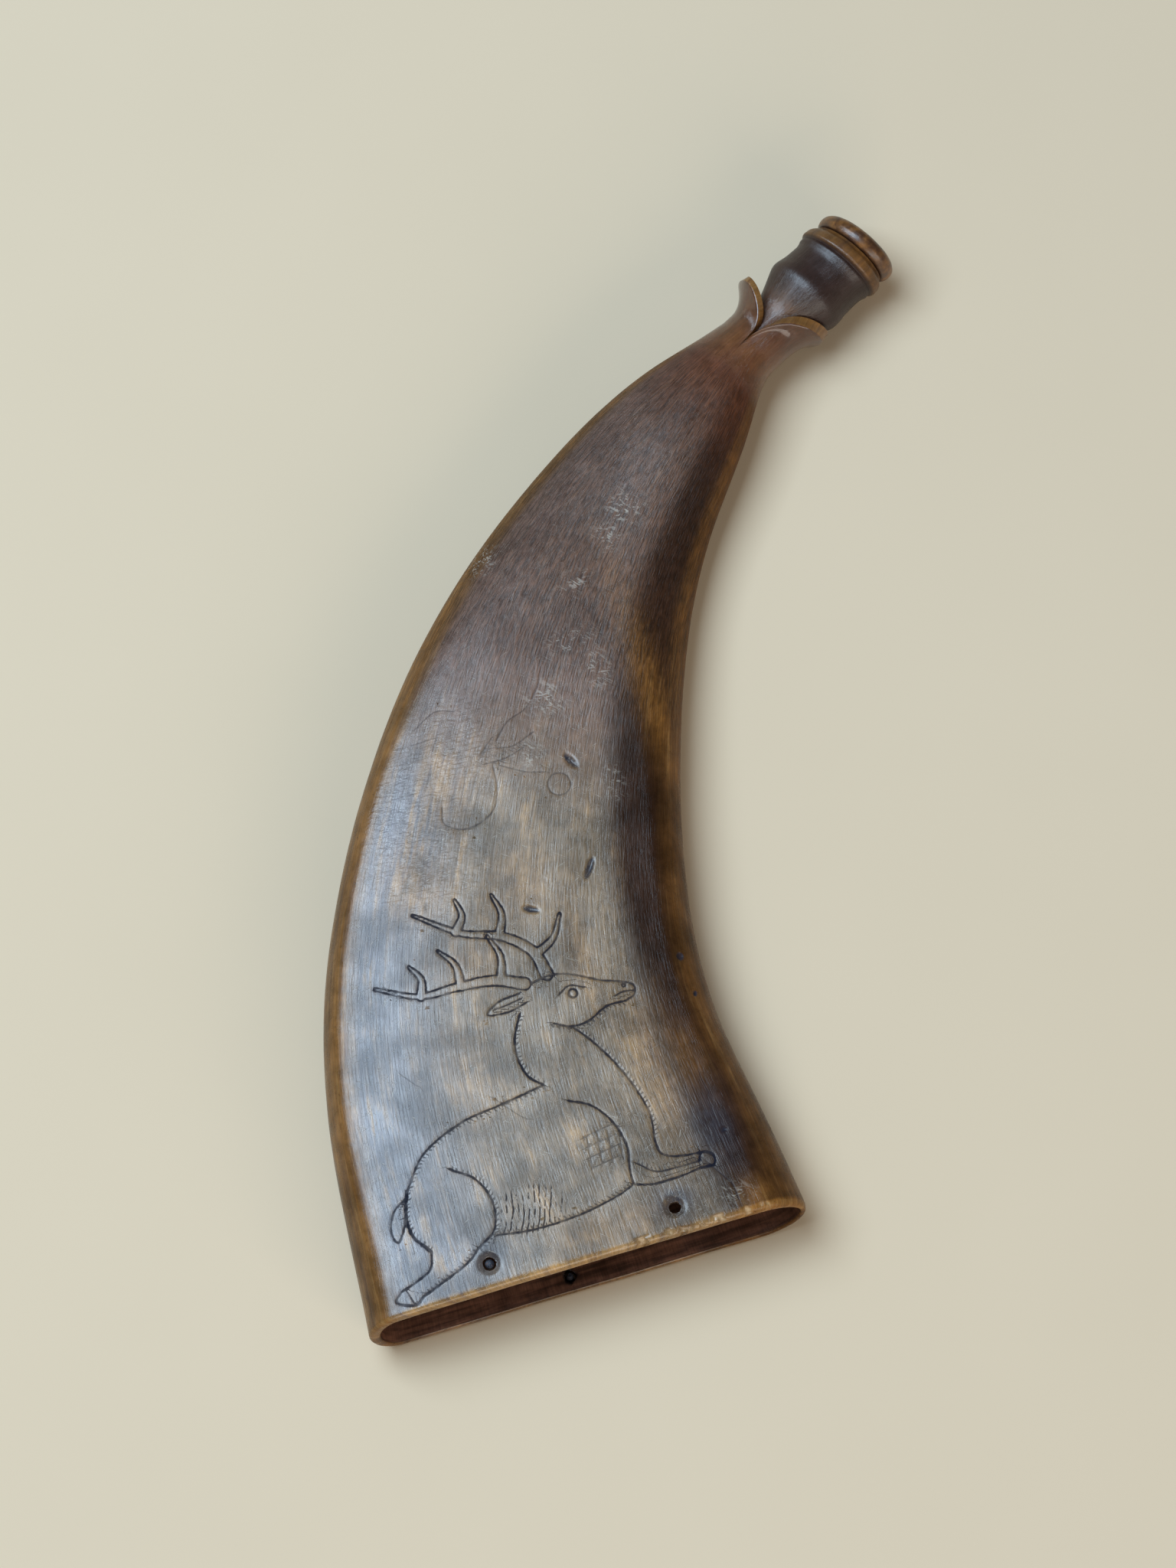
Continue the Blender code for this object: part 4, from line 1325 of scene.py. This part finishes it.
def stopper_material():
    """Amber brown horn, turned: rings round it, darker towards the foot of its head and along the shank."""
    surface = Surface("stopper_horn")
    place = surface.place()
    _, _, radius, height = surface.channels("turned")
    rings = surface.noise(place, 2.2, detail=3.0)
    mottle = surface.noise(place, 0.9, detail=4.0, roughness=0.7)
    lathe = surface.noise(surface.combined(radius, height), 0.35, detail=1.0)
    colour = surface.mix(surface.ramp(rings, 0.3, 0.7), (0.060, 0.021, 0.007), (0.21, 0.084, 0.018))
    colour = surface.mix(surface.ramp(height, 0.8, 0.1), colour, (0.03, 0.012, 0.007))
    shade = surface.times(surface.ramp(mottle, 0.3, 0.7, 0.75, 1.15),
                          surface.ramp(lathe, 0.3, 0.7, 0.9, 1.08))
    surface.set("Base Color", surface.shaded(colour, shade))
    surface.set("Roughness", surface.ramp(mottle, 0.3, 0.7, 0.28, 0.42))
    surface.set("IOR", 1.54)
    surface.set("Coat Weight", 0.1)
    surface.set("Coat Roughness", 0.25)
    surface.bump((lathe, 0.06), (mottle, 0.05))
    return surface.material


def iron_material():
    """Corroded iron with a bluish black skin and some rust."""
    surface = Surface("iron")
    place = surface.place()
    grain = surface.noise(place, 0.35, detail=4.0, roughness=0.7)
    rust = surface.ramp(surface.noise(place, 0.6, detail=3.0), 0.55, 0.7)
    colour = surface.mix(surface.ramp(grain, 0.3, 0.7), (0.008, 0.010, 0.015), (0.030, 0.035, 0.052))
    surface.set("Base Color", surface.mix(surface.times(rust, 0.6), colour, (0.07, 0.025, 0.01)))
    surface.set("Metallic", 0.4)
    surface.set("Roughness", surface.ramp(grain, 0.3, 0.7, 0.30, 0.55))
    surface.bump((grain, 0.08))
    return surface.material


BACKDROP = (0.66, 0.64, 0.54)
FLOOR_FADE = (0.25, 2.2)      # square metres: squared distances over which the floor fades into the backdrop


def floor_material():
    """Plain pale matt floor that turns into the backdrop far away."""
    surface = Surface("floor")
    place = surface.place()
    grain = surface.noise(place, 60.0)
    x, y, _ = surface.split(surface.scaled(place, (MILLIMETRE,) * 3))
    far = surface.ramp(surface.plus(surface.times(x, x), surface.times(y, y)), *FLOOR_FADE)
    near_colour = surface.mix(grain, (0.655, 0.532, 0.378), (0.68, 0.553, 0.396))
    surface.set("Base Color", surface.mix(far, near_colour, (0.0, 0.0, 0.0)))
    surface.set("Emission Color", BACKDROP)
    surface.set("Emission Strength", far)
    surface.set("Roughness", 0.85)
    surface.set("Specular IOR Level", surface.ramp(far, 0.0, 1.0, 0.2, 0.0))
    return surface.material


# ---- Studio ----

VIEW_ELEVATION = 75.5
VIEW_BEARING = 16.83          # of the horizontal look direction, from +Y towards +X
CAMERA_DISTANCE = 1230.8
CAMERA_AIM = (-8.9, -1.9, -1.0)   # from the middle of the CAD box
FOCAL_LENGTH = 140.6
SENSOR_WIDTH = 36.0
FLOOR_HALF_SIZE = 3.0         # metres
FLOOR_GAP = 0.0003            # metres, under the CAD box
SKY, SKY_STRENGTH = (1.0, 0.96, 0.9, 1.0), 0.15
# Lamps: place and size in metres, watts, colour.
LAMPS = {
    "window": ((-0.47, 0.34, 1.25), (0.8, 0.9), 24.0, (0.64, 0.82, 1.0)),
    "front": ((0.15, -1.25, 0.55), (1.2, 0.6), 9.0, (1.0, 0.93, 0.84)),
}
CAD_MIDDLE = 0.5 * (CAD_BOX[0] + CAD_BOX[1])


def add_camera():
    """The camera above the base's side of the horn, aimed near the middle of the CAD box."""
    camera = in_scene("camera", bpy.data.cameras.new("camera"))
    elevation, bearing = math.radians(VIEW_ELEVATION), math.radians(VIEW_BEARING)
    level = math.cos(elevation)
    look = Vector((math.sin(bearing) * level, math.cos(bearing) * level, -math.sin(elevation)))
    camera.location = CAD_MIDDLE + Vector(CAMERA_AIM) * MILLIMETRE - look * CAMERA_DISTANCE * MILLIMETRE
    camera.rotation_euler = look.to_track_quat("-Z", "Y").to_euler()
    camera.data.lens = FOCAL_LENGTH
    camera.data.sensor_width = SENSOR_WIDTH
    camera.data.clip_start, camera.data.clip_end = 0.01, 20.0
    bpy.context.scene.camera = camera


def add_lamp(name, place, size, power, colour):
    """A soft rectangular lamp aimed at the middle of the CAD box, with its place given from there."""
    lamp = bpy.data.lights.new(name, "AREA")
    lamp.shape = "RECTANGLE"
    lamp.size, lamp.size_y = size
    lamp.energy = power
    lamp.color = colour
    result = in_scene(name, lamp)
    result.location = CAD_MIDDLE + Vector(place)
    result.rotation_euler = (-Vector(place)).to_track_quat("-Z", "Y").to_euler()


def add_floor():
    """The floor, just under the CAD box."""
    data = bmesh.new()
    bmesh.ops.create_grid(data, x_segments=2, y_segments=2, size=FLOOR_HALF_SIZE)
    mesh = bpy.data.meshes.new("floor")
    data.to_mesh(mesh)
    data.free()
    mesh.materials.append(floor_material())
    floor = in_scene("floor", mesh)
    floor.location.z = CAD_BOX[0].z - FLOOR_GAP


def add_sky():
    """A dim warm sky that the camera sees as the pale backdrop."""
    world = bpy.data.worlds.new("sky")
    world.use_nodes = True
    nodes, links = world.node_tree.nodes, world.node_tree.links
    background = nodes["Background"]
    background.inputs[0].default_value = SKY
    background.inputs[1].default_value = SKY_STRENGTH
    backdrop = nodes.new("ShaderNodeBackground")
    backdrop.inputs[0].default_value = (*BACKDROP, 1.0)
    seen = nodes.new("ShaderNodeLightPath")
    choice = nodes.new("ShaderNodeMixShader")
    links.new(seen.outputs["Is Camera Ray"], choice.inputs[0])
    links.new(background.outputs[0], choice.inputs[1])
    links.new(backdrop.outputs[0], choice.inputs[2])
    links.new(choice.outputs[0], nodes["World Output"].inputs[0])
    bpy.context.scene.world = world


add_floor()
add_sky()
for lamp_name, lamp_values in LAMPS.items():
    add_lamp(lamp_name, *lamp_values)
bpy.context.scene.view_settings.view_transform = "Standard"
add_camera()
make_horn(HornSurface().material)
make_stopper(stopper_material())
iron = iron_material()
make_stub("nail_front", "nail_stub_front", 1.0, iron)
make_stub("nail_back", "nail_stub_back", -1.0, iron)
